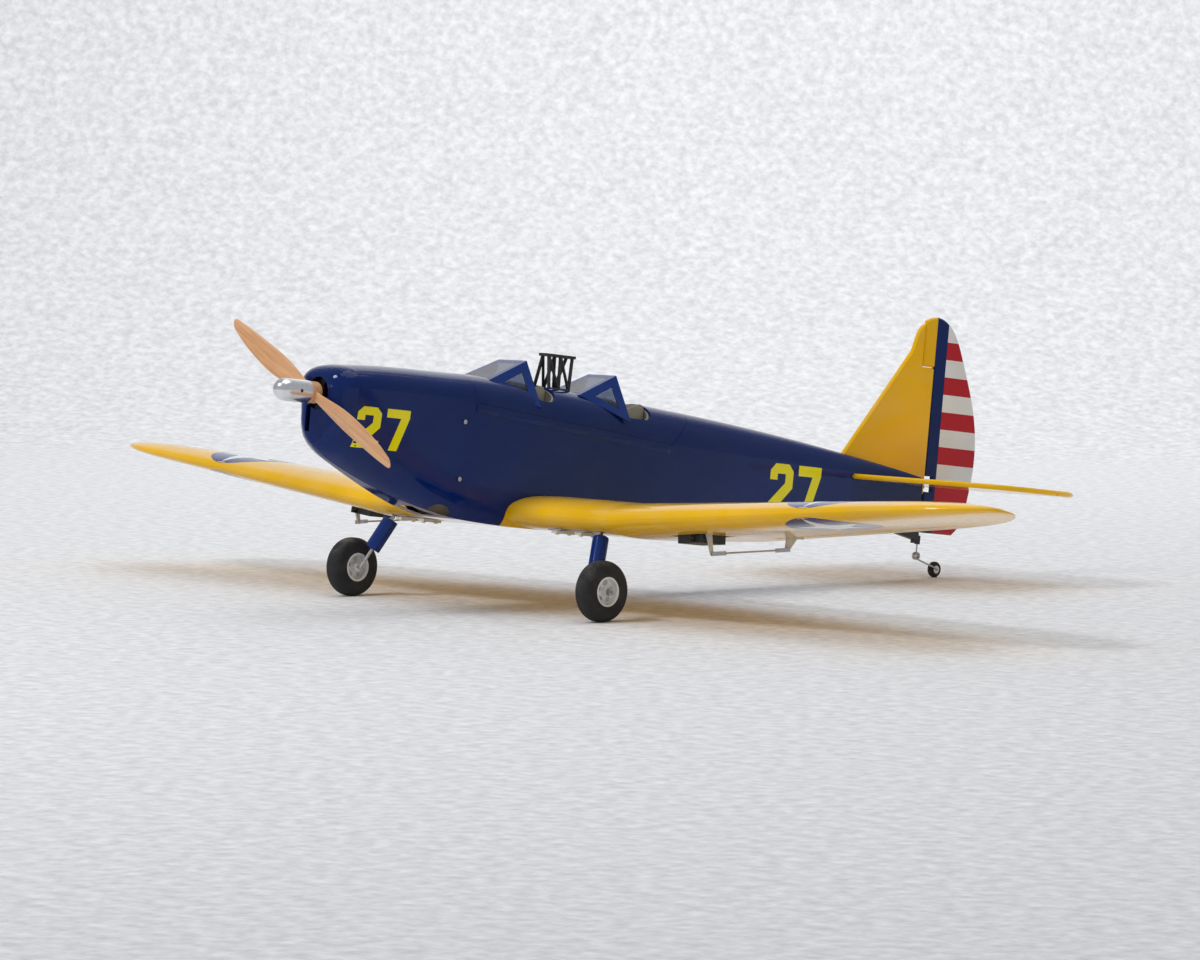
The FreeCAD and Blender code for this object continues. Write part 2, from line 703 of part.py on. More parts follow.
def knuckle(point, way, leaf_back, leaf_up=V(0, 0, 1)):
    """Fixed half of a pin hinge: a barrel on the hinge line and a leaf let into the part ahead."""
    along = V(way).normalize()
    start = point.sub(V(along).multiply(3.0))
    barrel = Part.makeCylinder(KNUCKLE_R, 6.0, start, along)
    ahead = V(0, -1, 0)
    corner = point.sub(V(along).multiply(3.0))
    thick = V(leaf_up).multiply(0.5)
    ring = [corner.sub(thick), corner.sub(thick).add(V(along).multiply(6.0)),
            corner.sub(thick).add(V(along).multiply(6.0)).add(V(ahead).multiply(leaf_back)),
            corner.sub(thick).add(V(ahead).multiply(leaf_back))]
    leaf = Part.Face(Part.makePolygon(ring + [ring[0]])).extrude(V(leaf_up).multiply(1.0))
    bore = Part.makeCylinder(PIN_R, 12.0, point.sub(V(along).multiply(6.0)), along)
    return barrel.fuse(leaf).cut(bore)


def hinge_notch(point, way):
    """Room round a knuckle in the moving surface."""
    along = V(way).normalize()
    start = point.sub(V(along).multiply(3.6))
    return Part.makeCylinder(KNUCKLE_R + 0.9, 7.2, start, along)


def hinge_pin(point, way, fit=0.0):
    """Pin held in a knuckle; with the running fit added, its bore in the moving surface."""
    along = V(way).normalize()
    half = PIN_REACH + fit
    return Part.makeCylinder(PIN_R + fit, 2 * half, point.sub(V(along).multiply(half)), along)


def wing_panel():
    panel = panel_solid()
    panel = panel.cut(aileron_wedge(AILERON_IN - END_GAP, AILERON_OUT + END_GAP, SLOT, True))
    panel = panel.cut(servo_well())
    for x in knuckle_stations():
        panel = panel.cut(knuckle(on_axis(x), AILERON_DIR, 12.0).common(panel))
    panel = panel.cut(joiner_bore(TUBE_R))
    return max(panel.Solids, key=lambda s: s.Volume)


def aileron():
    surface = panel_solid().common(aileron_wedge(AILERON_IN, AILERON_OUT, 0.0, False))
    for x in knuckle_stations():
        surface = surface.cut(hinge_notch(on_axis(x), AILERON_DIR))
        surface = surface.cut(hinge_pin(on_axis(x), AILERON_DIR, RUNNING_FIT))
    return max(surface.Solids, key=lambda s: s.Volume)


def joiner_bore(radius):
    """The round of a joiner tube on the port side, from the centre section into the outer panel."""
    root = CENTRE_SPAN / 2
    return rod(V(root - TUBE_INBOARD, TUBE_Y, TUBE_Z), V(root + TUBE_OUTBOARD, TUBE_Y, TUBE_Z), radius)


def joiner_tubes():
    """Aluminium tubes that carry the outer panels, one each side."""
    return both(joiner_bore(TUBE_R).cut(joiner_bore(TUBE_R - TUBE_WALL)))


def belly_fairing():
    """Under the wing, its lower surface carries on as the belly of the fuselage."""
    return BODY_OUTER.common(belly_region())


def wing_centre():
    centre = wing_centre_solid().fuse(belly_fairing())
    for cutter in (gear_groove(), joiner_bore(TUBE_R)):
        centre = centre.cut(cutter).cut(mirrored(cutter))
    for p in wing_bolt_spots():
        centre = centre.cut(rod(V(p.x, p.y, -170), V(p.x, p.y, -60), BOLT_R + 0.1))
        centre = centre.cut(Part.makeCylinder(5.2, 20, V(p.x, p.y, p.z - 20), V(0, 0, 1)))
    for p in strap_screw_spots():
        centre = centre.cut(both(rod(p, V(p.x, p.y, p.z + 6), STRAP_SCREW_R)))
    centre = centre.cut(wing_dowels())
    return max(centre.Solids, key=lambda s: s.Volume)


def wing_bolt_spots():
    return [V(-BOLT_X, BOLT_Y, BOLT_Z), V(BOLT_X, BOLT_Y, BOLT_Z)]


def wing_bolts():
    return group([bolt(p, V(0, 0, 1), BOLT_R, 34.0, 5.0, 3.0) for p in wing_bolt_spots()])


def wing_bolt_plate():
    """Ply plate in the fuselage that the wing bolts screw into."""
    slab = box(-60, 60, BOLT_Y - 14, BOLT_Y + 14, -101.0, -95.0).common(body_loft(INNER_STATIONS, WALL + 0.2))
    for p in wing_bolt_spots():
        slab = slab.cut(rod(V(p.x, p.y, -120), V(p.x, p.y, -60), BOLT_R))
    return slab.cut(wing_centre_solid(SEAM_GAP))


def wing_dowels():
    return both(rod(V(DOWEL_X, WING_NOSE_Y - 22, DOWEL_Z), V(DOWEL_X, WING_NOSE_Y + 30, DOWEL_Z), DOWEL_R))


def dowel_former():
    """Ply former ahead of the wing that takes the two dowels."""
    y = WING_NOSE_Y - 16.0
    slab = body_loft(BODY_STATIONS, WALL + 0.2).common(box(-60, 60, y, y + 5, BELLY_Z, -60))
    return slab.cut(wing_dowels())


# ================= undercarriage =================

def leg_foot():
    return V(WHEEL_X - WHEEL_W / 2 - 4.0, WHEEL_Y, WHEEL_Z)


def leg_direction():
    return leg_foot().sub(LEG_TOP).normalize()


def gear_wire():
    """Spring-steel leg: up into the wing, along its groove, and the axle."""
    groove_end = V(LEG_TOP.x - 88.0, LEG_TOP.y, LEG_TOP.z)
    hook = V(groove_end.x, groove_end.y, groove_end.z + 20.0)
    axle_end = V(WHEEL_X + WHEEL_W / 2 + 9.0, WHEEL_Y, WHEEL_Z)
    return bar_through([hook, groove_end, LEG_TOP, leg_foot(), axle_end], AXLE_R)


def gear_groove():
    y0 = LEG_TOP.y - 2.4
    y1 = LEG_TOP.y + 2.4
    slot = box(LEG_TOP.x - 92.0, LEG_TOP.x + 4.5, y0, y1, LEG_TOP.z - 40.0, LEG_TOP.z + 3.0)
    hook = box(LEG_TOP.x - 92.0, LEG_TOP.x - 84.0, y0, y1, LEG_TOP.z - 10, LEG_TOP.z + 22.0)
    return slot.fuse(hook)


def leg_fairing():
    """Round fairing on the leg, clear of the wing."""
    down = leg_direction()
    start = LEG_TOP.add(V(down).multiply(LEG_FAIRING_DROP))
    body = Part.makeCylinder(LEG_FAIRING_R, LEG_FAIRING_L, start, down)
    bore = Part.makeCylinder(AXLE_R, LEG_FAIRING_L + 4, start.sub(V(down).multiply(2)), down)
    return body.makeFillet(1.2, [body.Edges[0], body.Edges[2]]).cut(bore)


def gear_straps():
    """Nylon straps across the wire, two a side, on the underside of the wing."""
    straps = []
    z = LEG_TOP.z
    for x in strap_stations():
        saddle = box(x - 5, x + 5, LEG_TOP.y - 14, LEG_TOP.y + 14, z - 5.2, z - 2.2)
        for p in strap_screw_spots():
            saddle = saddle.cut(rod(V(p.x, p.y, z - 8), V(p.x, p.y, z + 4), STRAP_SCREW_R))
        straps.append(both(saddle.cut(wing_centre_solid())))
    return group(straps)


def strap_stations():
    return [LEG_TOP.x - 24.0, LEG_TOP.x - 64.0]


def strap_screw_spots():
    """Under the heads of the strap screws, port side."""
    return [V(x, LEG_TOP.y + side * 9.5, LEG_TOP.z - 5.2) for x in strap_stations() for side in (-1, 1)]


def strap_screws():
    return group([both(bolt(p, V(0, 0, 1), STRAP_SCREW_R, 5.0, 2.4, 1.3)) for p in strap_screw_spots()])


def wheel_hub():
    """White spoked hub on the axle."""
    x0 = WHEEL_X - WHEEL_W / 2
    centre = V(x0, WHEEL_Y, WHEEL_Z)
    axis = V(1, 0, 0)
    rim = Part.makeCylinder(HUB_R, WHEEL_W, centre, axis)
    for start in (x0, x0 + WHEEL_W - 6.0):
        dish = Part.makeCylinder(HUB_R - 2.2, 6.0, V(start, WHEEL_Y, WHEEL_Z), axis)
        rim = rim.cut(dish)
    boss = Part.makeCylinder(5.0, WHEEL_W, centre, axis)
    hub = rim.fuse(boss)
    for i in range(5):
        turn = math.radians(90 + i * 72)
        y = WHEEL_Y + math.cos(turn) * 10.2
        z = WHEEL_Z + math.sin(turn) * 10.2
        hub = hub.cut(rod(V(x0 - 1, y, z), V(x0 + WHEEL_W + 1, y, z), 3.3))
    return hub.cut(rod(V(x0 - 1, WHEEL_Y, WHEEL_Z), V(x0 + WHEEL_W + 1, WHEEL_Y, WHEEL_Z), AXLE_R + RUNNING_FIT))


def ring_tyre(x, y, z, radius, width, bore, shoulder):
    """Tyre of revolution about X with rounded shoulders."""
    tyre = Part.makeCylinder(radius, width, V(x - width / 2, y, z), V(1, 0, 0))
    rims = [e for e in tyre.Edges if e.Closed and abs(e.Curve.Radius - radius) < 0.01]
    tyre = tyre.makeFillet(shoulder, rims)
    return tyre.cut(Part.makeCylinder(bore, width + 2, V(x - width / 2 - 1, y, z), V(1, 0, 0)))


def collar(x0, x1, y, z, bore):
    """Steel collar with its grub screw."""
    ring = Part.makeCylinder(bore + 2.2, x1 - x0, V(x0, y, z), V(1, 0, 0))
    ring = ring.cut(Part.makeCylinder(bore, x1 - x0 + 2, V(x0 - 1, y, z), V(1, 0, 0)))
    return ring.fuse(rod(V((x0 + x1) / 2, y, z + bore + 0.4), V((x0 + x1) / 2, y, z + bore + 3.4), 0.9))


def wheel_collars():
    x = WHEEL_X + WHEEL_W / 2 + 0.4
    return both(collar(x, x + 5.0, WHEEL_Y, WHEEL_Z, AXLE_R))


# ================= tail =================

def curved_plate(outline, thickness, axis, centre):
    """Plate with a free-form outline, its rims rounded. Axis 'x' stands up, axis 'z' lies flat."""
    edges = []
    for kind, points in outline:
        low = centre - thickness / 2
        where = [V(low, a, b) if axis == "x" else V(a, b, low) for a, b in points]
        if kind == "line":
            edges += [Part.makeLine(p, q) for p, q in zip(where, where[1:])]
        else:
            curve = Part.BSplineCurve()
            curve.interpolate(where)
            edges.append(curve.toShape())
    face = Part.Face(Part.Wire(edges))
    way = V(thickness, 0, 0) if axis == "x" else V(0, 0, thickness)
    return face.extrude(way)


def eased_rims(solid, size, keep_y, axis):
    """Ease the two rims of a plate, except along the hinge line at keep_y."""
    rims = []
    for e in solid.Edges:
        ends = [v.Point for v in e.Vertexes]
        spread = abs(ends[0].x - ends[-1].x) if axis == "x" else abs(ends[0].z - ends[-1].z)
        on_hinge = all(abs(p.y - keep_y) < 0.6 for p in ends)
        if spread < 0.1 and not on_hinge:
            rims.append(e)
    return solid.makeChamfer(size, rims)


def tailplane():
    """Fixed tailplane, one piece through the fuselage."""
    nose = TAILPLANE_NOSE_Y
    back = HINGE_Y - SLOT
    half = TAIL_HALF
    tip = [(half - 90, nose + 16), (half - 40, nose + 27), (half - 14, nose + 48),
           (half - 3, nose + 80), (half, back - 20)]
    outline = [
        ("line", [(-half, back - 20), (-half, back), (half, back), (half, back - 20)]),
        ("curve", list(reversed(tip))),
        ("line", [(half - 90, nose + 16), (0, nose), (-half + 90, nose + 16)]),
        ("curve", [(-x, y) for x, y in tip]),
    ]
    flat = curved_plate(outline, TAIL_T, "z", TAILPLANE_Z)
    flat = eased_rims(flat, RIM_EASE, back, "z")
    for x in elevator_hinges():
        flat = flat.cut(knuckle(V(x, HINGE_Y, TAILPLANE_Z), V(1, 0, 0), 12.0).common(flat))
    return flat.cut(fin_solid())


def elevator_hinges():
    return [-TAIL_HALF + 50, -90.0, 90.0, TAIL_HALF - 50]


def elevator_half():
    """Port elevator, bevelled ahead of its hinge line."""
    half = TAIL_HALF
    back = HINGE_Y + ELEVATOR_CHORD
    tip = [(half, HINGE_Y + 6), (half - 4, HINGE_Y + 28), (half - 22, back - 8), (half - 62, back)]
    inner = ELEVATOR_INNER
    outline = [
        ("line", [(inner, HINGE_Y), (half, HINGE_Y), (half, HINGE_Y + 6)]),
        ("curve", tip),
        ("line", [(half - 62, back), (inner + 27, back), (inner, HINGE_Y + 8), (inner, HINGE_Y)]),
    ]
    flat = curved_plate(outline, TAIL_T, "z", TAILPLANE_Z)
    flat = eased_rims(flat, RIM_EASE, HINGE_Y, "z")
    slope = math.tan(math.radians(BEVEL))
    z = TAILPLANE_Z
    y = HINGE_Y
    room = side_prism([(y, z), (y + 20 * slope, z + 20), (y + 90, z + 20), (y + 90, z - 20), (y + 20 * slope, z - 20)],
                      -400, 400)
    flat = flat.common(room)
    for x in elevator_hinges():
        flat = flat.cut(hinge_notch(V(x, HINGE_Y, TAILPLANE_Z), V(1, 0, 0)))
        flat = flat.cut(hinge_pin(V(x, HINGE_Y, TAILPLANE_Z), V(1, 0, 0), RUNNING_FIT))
    return flat.cut(elevator_joiner())


def elevator_joiner():
    """Wire that ties the two elevators together behind the tail post."""
    y = HINGE_Y + JOINER_BACK
    reach = ELEVATOR_INNER + 26.0
    corners = ((-reach, y + 12), (-reach, y), (reach, y), (reach, y + 12))
    return bar_through([V(a, b, TAILPLANE_Z) for a, b in corners], JOINER_R)


def fin_solid():
    top = FIN_TOP_Z
    back = HINGE_Y - SLOT
    low = TAILPLANE_Z - 14.0
    shelf = BALANCE_Z - SLOT
    step = back - BALANCE_CHORD
    nose = FIN_NOSE_Y
    outline = [
        ("line", [(back, low), (back, shelf), (step, shelf), (step, top - 10)]),
        ("curve", [(step, top - 10), (step - 8, top - 15), (back - 38, top - 37), (back - 47, top - 53)]),
        ("line", [(back - 47, top - 53), (nose, deck_height(nose)), (nose + 4, low + 18), (nose + 60, low), (back, low)]),
    ]
    return curved_plate(outline, FIN_T, "x", 0.0)


def fin():
    upright = eased_rims(fin_solid(), RIM_EASE, HINGE_Y - SLOT, "x")
    for z in RUDDER_HINGES:
        if z > TAILPLANE_Z:
            upright = upright.cut(knuckle(V(0, HINGE_Y, z), V(0, 0, 1), 12.0, V(1, 0, 0)).common(upright))
    return upright


def rudder():
    """Rudder with its horn balance and the notch that clears the elevators."""
    y = HINGE_Y
    top = FIN_TOP_Z
    foot = RUDDER_FOOT_Z
    ahead = y - BALANCE_CHORD
    outline = [
        ("line", [(y, foot), (y, BALANCE_Z), (ahead, BALANCE_Z), (ahead, top - 6)]),
        ("curve", [(ahead, top - 6), (y - 6, top - 1), (y + 8, top - 1), (y + 27, top - 10), (y + 55, 130),
                   (y + 85, 58), (y + 91, 24), (y + 91, -6), (y + 86, -40), (y + 72, -81), (y + 60, foot)]),
        ("line", [(y + 60, foot), (y, foot)]),
    ]
    blade = eased_rims(curved_plate(outline, FIN_T, "x", 0.0), RIM_EASE, HINGE_Y, "x")
    slope = math.tan(math.radians(BEVEL))
    back = y + 140
    low = RUDDER_FOOT_Z - 10
    room_points = [(0.0, y), (20.0, y + 20 * slope), (20.0, back), (-20.0, back), (-20.0, y + 20 * slope)]
    ring = [V(a, b, low) for a, b in room_points]
    room = Part.Face(Part.makePolygon(ring + [ring[0]])).extrude(V(0, 0, BALANCE_Z - low))
    room = room.fuse(box(-20, 20, y - 60, back, BALANCE_Z, FIN_TOP_Z + 20))
    blade = blade.common(room)
    notch = box(-20, 20, y - 1, y + JOINER_BACK + 7.0, TAILPLANE_Z - 10, TAILPLANE_Z + 10)
    blade = blade.cut(notch)
    for z in RUDDER_HINGES:
        blade = blade.cut(hinge_notch(V(0, y, z), V(0, 0, 1)))
        blade = blade.cut(hinge_pin(V(0, y, z), V(0, 0, 1), RUNNING_FIT))
    blade = blade.cut(tail_wire_shape())
    return max(blade.Solids, key=lambda s: s.Volume)


def tail_wire_points():
    post_y = HINGE_Y
    return {
        "tiller": [V(0, post_y + 26, RUDDER_FOOT_Z + 12), V(0, post_y, RUDDER_FOOT_Z + 12)],
        "coil": V(0, post_y + 2.5, -122.0),
        "axle": V(0, TAIL_WHEEL_Y, TAIL_WHEEL_Z),
    }


def tail_wire_shape():
    """Steering wire: tiller in the rudder, post through the bracket, spring coil, arm and axle."""
    p = tail_wire_points()
    coil_top = V(0, p["tiller"][1].y, p["coil"].z + COIL_R)
    wire = bar_through([p["tiller"][0], p["tiller"][1], coil_top], TAIL_WIRE_R)
    for side in (-COIL_STEP, 0.0, COIL_STEP):
        ring = Part.makeTorus(COIL_R, TAIL_WIRE_R, V(side, coil_top.y, p["coil"].z), V(1, 0, 0))
        wire = wire.fuse(ring)
    arm_x = TAIL_WHEEL_W / 2 + 3.0
    low = V(COIL_STEP, coil_top.y + 1.0, p["coil"].z - COIL_R)
    knee = V(arm_x, p["axle"].y - 1.0, p["axle"].z + 0.5)
    arm = bar_through([low, knee, V(arm_x, p["axle"].y, p["axle"].z)], TAIL_WIRE_R)
    end_x = -TAIL_WHEEL_W / 2 - 5.0
    axle = rod(V(arm_x, p["axle"].y, p["axle"].z), V(end_x, p["axle"].y, p["axle"].z), TAIL_WIRE_R)
    return wire.fuse(arm).fuse(axle)


def tail_bracket():
    """Black bracket under the tail: a screwed foot and a bearing barrel round the post."""
    foot = side_prism([(HINGE_Y - 50, -86), (HINGE_Y - 50, -94.5), (HINGE_Y - 3, -103), (HINGE_Y - 3, -91)], -4.5, 4.5)
    foot = foot.cut(BODY_OUTER)
    barrel = Part.makeCylinder(3.6, 11.0, V(0, HINGE_Y, -107.0), V(0, 0, 1))
    arm = side_prism([(HINGE_Y - 10, -106), (HINGE_Y - 10, -97), (HINGE_Y, -97), (HINGE_Y, -106)], -2.5, 2.5)
    bore = Part.makeCylinder(TAIL_WIRE_R + RUNNING_FIT, 40.0, V(0, HINGE_Y, -125), V(0, 0, 1))
    rudder_room = box(-20, 20, HINGE_Y - 4, HINGE_Y + 20, RUDDER_FOOT_Z - 1.0, 0)
    return foot.fuse(barrel).fuse(arm).cut(bore).cut(rudder_room)


def tail_wheel():
    x0 = -TAIL_WHEEL_W / 2
    hub = Part.makeCylinder(TAIL_HUB_R, TAIL_WHEEL_W, V(x0, TAIL_WHEEL_Y, TAIL_WHEEL_Z), V(1, 0, 0))
    bore = Part.makeCylinder(TAIL_WIRE_R + RUNNING_FIT, 20, V(x0 - 3, TAIL_WHEEL_Y, TAIL_WHEEL_Z), V(1, 0, 0))
    return hub.cut(bore)


def tail_collar():
    return collar(-TAIL_WHEEL_W / 2 - 4.4, -TAIL_WHEEL_W / 2 - 0.4, TAIL_WHEEL_Y, TAIL_WHEEL_Z, TAIL_WIRE_R)


def hinge_places():
    """Every hinge: a point on its line, the line's direction and the leaf's flat side."""
    places = [(on_axis(x), AILERON_DIR, V(0, 0, 1)) for x in knuckle_stations()]
    places += [(V(x, HINGE_Y, TAILPLANE_Z), V(1, 0, 0), V(0, 0, 1)) for x in elevator_hinges() if x > 0]
    return places


def hinges():
    """Fixed halves and pins of every hinge, as separate pieces."""
    pieces = []
    for point, way, flat in hinge_places():
        pieces.append(both(knuckle(point, way, 12.0, flat)))
        pieces.append(both(hinge_pin(point, way)))
    for z in RUDDER_HINGES:
        pieces.append(knuckle(V(0, HINGE_Y, z), V(0, 0, 1), 12.0, V(1, 0, 0)))
        pieces.append(hinge_pin(V(0, HINGE_Y, z), V(0, 0, 1)))
    return group(pieces)


# ================= controls =================

def horn_hole():
    hinge = on_axis(HORN_X)
    return V(HORN_X, hinge.y + HORN_FOLLOW, hinge.z - AILERON_HORN_R)


def arm_hole():
    hole = horn_hole()
    return V(hole.x, hole.y - AILERON_SERVO_AHEAD, hole.z - AILERON_ARM_DROP)


def servo_shaft():
    hole = arm_hole()
    return V(hole.x, hole.y - HORN_FOLLOW, hole.z + AILERON_HORN_R)


def lever(pivot, hole, thickness, way, root_r, tip_r, bore):
    """Tapered arm from its pivot to its rod hole."""
    along = V(way).normalize()
    back = V(along).multiply(-thickness / 2)
    root = Part.makeCylinder(root_r, thickness, pivot.add(back), along)
    tip = Part.makeCylinder(tip_r, thickness, hole.add(back), along)
    reach = hole.sub(pivot).normalize()
    across = along.cross(reach).normalize()
    ring = [pivot.add(V(across).multiply(root_r)), hole.add(V(across).multiply(tip_r)),
            hole.sub(V(across).multiply(tip_r)), pivot.sub(V(across).multiply(root_r))]
    ring = [p.add(back) for p in ring]
    web = Part.Face(Part.makePolygon(ring + [ring[0]])).extrude(V(along).multiply(thickness))
    hole_cut = Part.makeCylinder(bore, thickness + 2, hole.add(V(along).multiply(-thickness / 2 - 1)), along)
    return root.fuse(tip).fuse(web).cut(hole_cut)


def pushrod(start, end, way, side, gap):
    """Threaded rod with a clevis at each end, lying beside the arm and the horn."""
    along = V(way).normalize()
    shift = V(along).multiply(side * (ARM_T / 2 + gap + CLEVIS_T / 2))
    a = start.add(shift)
    b = end.add(shift)
    straight = b.sub(a)
    line = straight.sub(V(along).multiply(straight.dot(along))).normalize()
    wire = rod(a.add(V(line).multiply(10)), b.sub(V(line).multiply(10)), ROD_R)
    for p, sense in ((a, 1), (b, -1)):
        fork = rod(p.sub(V(line).multiply(2.5 * sense)), p.add(V(line).multiply(18 * sense)), 2.4)
        wire = wire.fuse(fork.common(slab_along(p, line, along, sense)))
    for p in (start, end):
        foot = p.sub(V(along).multiply(side * (ARM_T / 2 + 0.8)))
        reach = ARM_T + 0.8 + gap + CLEVIS_T / 2
        wire = wire.fuse(Part.makeCylinder(CLEVIS_PIN_R, reach, foot, V(along).multiply(side)))
    return wire


def slab_along(point, line, along, sense):
    """Flat slab that trims a clevis to its thickness."""
    across = line.cross(along).normalize()
    start = point.sub(V(line).multiply(4 * sense)).sub(V(across).multiply(3)).sub(V(along).multiply(CLEVIS_T / 2))
    far = start.add(V(line).multiply(26 * sense))
    ring = [start, far, far.add(V(across).multiply(6)), start.add(V(across).multiply(6))]
    return Part.Face(Part.makePolygon(ring + [ring[0]])).extrude(V(along).multiply(CLEVIS_T))


def servo():
    """Standard servo at the origin, its output shaft pointing up: case, lugs and boss."""
    case = box(-SERVO_W / 2, SERVO_W / 2, -10.0, SERVO_L - 10.0, -SERVO_H - 2.0, -2.0)
    lugs = box(-SERVO_W / 2 + 1, SERVO_W / 2 - 1, -17.0, SERVO_L - 3.0, -13.0, -10.6)
    for x in (-5.0, 5.0):
        for y in (-13.6, SERVO_L - 6.4):
            lugs = lugs.cut(rod(V(x, y, -20), V(x, y, 0), 2.1))
    boss = Part.makeCylinder(6.0, 1.6, V(0, 0, -2.0), V(0, 0, 1))
    return case.fuse(lugs).fuse(boss)


def turned(shape, steps, move):
    for axis, angle in steps:
        shape.rotate(V(0, 0, 0), axis, angle)
    shape.translate(move)
    return shape


def aileron_servo():
    """Servo on its side in the wing, output outboard, part of it standing proud below."""
    return turned(servo(), [(V(0, 1, 0), 90 - tilt_of_axis())], servo_seat())


def tilt_of_axis():
    return math.degrees(math.atan2(AILERON_DIR.z, AILERON_DIR.x))


def servo_seat():
    """Where the top of the output boss sits, just inboard of the arm."""
    s = servo_shaft()
    return s.sub(V(AILERON_DIR).multiply(SERVO_TOP))


def servo_well():
    """Opening in the wing round the servo and its arm."""
    s = servo_seat()
    y0 = s.y - 18.5
    y1 = s.y + SERVO_L - 0.5
    return box(s.x - SERVO_H - 6, s.x + 8.5, y0, y1, s.z - 30, s.z + 14.0)


def servo_arm(pivot, hole, way):
    return lever(pivot, hole, ARM_T, way, 4.0, 2.0, CLEVIS_PIN_R + RUNNING_FIT)


def aileron_horn():
    """Nylon horn with its foot on the underside of the aileron."""
    hinge = on_axis(HORN_X)
    hole = horn_hole()
    foot_z = hinge.z - 4.0
    outline = [(hinge.y + 6, foot_z), (hinge.y + 27, foot_z + 1.0), (hole.y + 3.0, hole.z - 2.0), (hole.y - 2.0, hole.z - 2.0)]
    web = side_prism(outline, HORN_X - ARM_T / 2, HORN_X + ARM_T / 2)
    base = box(HORN_X - 6, HORN_X + 6, hinge.y + 5.0, hinge.y + 28, foot_z - 4.5, foot_z - 2.5)
    horn = web.fuse(base)
    reach = V(AILERON_DIR).multiply(5.0)
    bore = rod(hole.sub(reach), hole.add(reach), CLEVIS_PIN_R + RUNNING_FIT)
    return horn.cut(bore).cut(aileron())


def elevator_shaft():
    return V(ELEVATOR_ROD_X, ELEVATOR_SERVO_Y, TAILPLANE_Z)


def elevator_servo():
    return turned(servo(), [(V(0, 1, 0), -90)], elevator_shaft().add(V(SERVO_TOP, 0, 0)))


def rudder_shaft():
    return V(0, RUDDER_SERVO_Y, RUDDER_ROD_Z)


def rudder_servo():
    return turned(servo(), [], rudder_shaft().sub(V(0, 0, SERVO_TOP)))


def servo_tray():
    """Ply tray across the fuselage behind the wing, with the rudder servo's opening."""
    room = body_loft(INNER_STATIONS, WALL + 0.2)
    slab = box(-60, 60, 300, 440, SERVO_TRAY_Z - TRAY_T, SERVO_TRAY_Z).common(room)
    near = RUDDER_SERVO_Y - SHAFT_BACK - 0.4
    slab = slab.cut(box(-SERVO_W / 2 - 0.4, SERVO_W / 2 + 0.4, near, near + SERVO_L + 0.8, BELLY_Z, -40))
    for y in (ELEVATOR_SERVO_Y - 8, ELEVATOR_SERVO_Y + 22):
        slab = slab.fuse(box(-18, 8, y, y + 6, SERVO_TRAY_Z, TAILPLANE_Z - SERVO_W / 2))
    return slab.cut(rudder_servo()).cut(formers())


def elevator_horn():
    """Horn under the starboard elevator."""
    x = ELEVATOR_ROD_X
    hole_z = TAILPLANE_Z - HORN_R
    y = HINGE_Y
    skin_z = TAILPLANE_Z - TAIL_T / 2
    outline = [(y + 4.5, skin_z), (y + 22, skin_z), (y + 2.5, hole_z - 2), (y - 2.5, hole_z - 2), (y - 2.5, hole_z + 3)]
    web = side_prism(outline, x - ARM_T / 2, x + ARM_T / 2)
    base = box(x - 6, x + 6, y + 4.5, y + 24, skin_z - 2.0, skin_z)
    return web.fuse(base).cut(rod(V(x - 5, y, hole_z), V(x + 5, y, hole_z), CLEVIS_PIN_R + RUNNING_FIT))


def rudder_horn():
    """Horn on the starboard face of the rudder."""
    z = RUDDER_ROD_Z
    low = z - ARM_T / 2
    y = HINGE_Y
    outline = [(-FIN_T / 2, y + 4.5), (-FIN_T / 2, y + 20), (-HORN_R - 2, y + 2.5), (-HORN_R - 2, y - 2.5),
               (-HORN_R + 3, y - 2.5)]
    ring = [V(a, b, low) for a, b in outline]
    web = Part.Face(Part.makePolygon(ring + [ring[0]])).extrude(V(0, 0, ARM_T))
    base = box(-FIN_T / 2 - 2, -FIN_T / 2, HINGE_Y + 4.5, HINGE_Y + 22, z - 6, z + 6)
    horn = web.fuse(base)
    return horn.cut(rod(V(-HORN_R, HINGE_Y, z - 4), V(-HORN_R, HINGE_Y, z + 4), CLEVIS_PIN_R + RUNNING_FIT))


def elevator_rod():
    start = elevator_shaft().add(V(0, 0, -HORN_R))
    return pushrod(start, V(ELEVATOR_ROD_X, HINGE_Y, TAILPLANE_Z - HORN_R), V(1, 0, 0), -1, ROD_GAP)


def rudder_rod():
    start = rudder_shaft().add(V(-HORN_R, 0, 0))
    return pushrod(start, V(-HORN_R, HINGE_Y, RUDDER_ROD_Z), V(0, 0, 1), -1, ROD_GAP)


# ================= power =================

def blade():
    """One blade along +X: twisted, rounded sections that shrink to the tip."""
    middle = (HUB_BACK_Y + HUB_FRONT_Y) / 2
    wires = []
    for s, width, aside in BLADE_STATIONS:
        x = PROP_R * s
        thick = 11.0 * (1 - s) ** 1.3 + 1.5
        angle = math.radians(72 - 58 * s ** 0.6)
        ring = []
        for i in range(16):
            t = 2 * math.pi * i / 16
            across = math.cos(t) * width / 2
            up = math.sin(t) * thick / 2
            y = middle - across * math.sin(angle) * 0.5 + up * math.cos(angle) * 0.8
            z = aside + across * math.cos(angle * 0.55) + up * math.sin(angle) * 0.5
            ring.append(V(x, y, z))
        curve = Part.BSplineCurve()
        curve.interpolate(ring, PeriodicFlag=True)
        wires.append(Part.Wire([curve.toShape()]))
    return Part.makeLoft(wires, True, False)


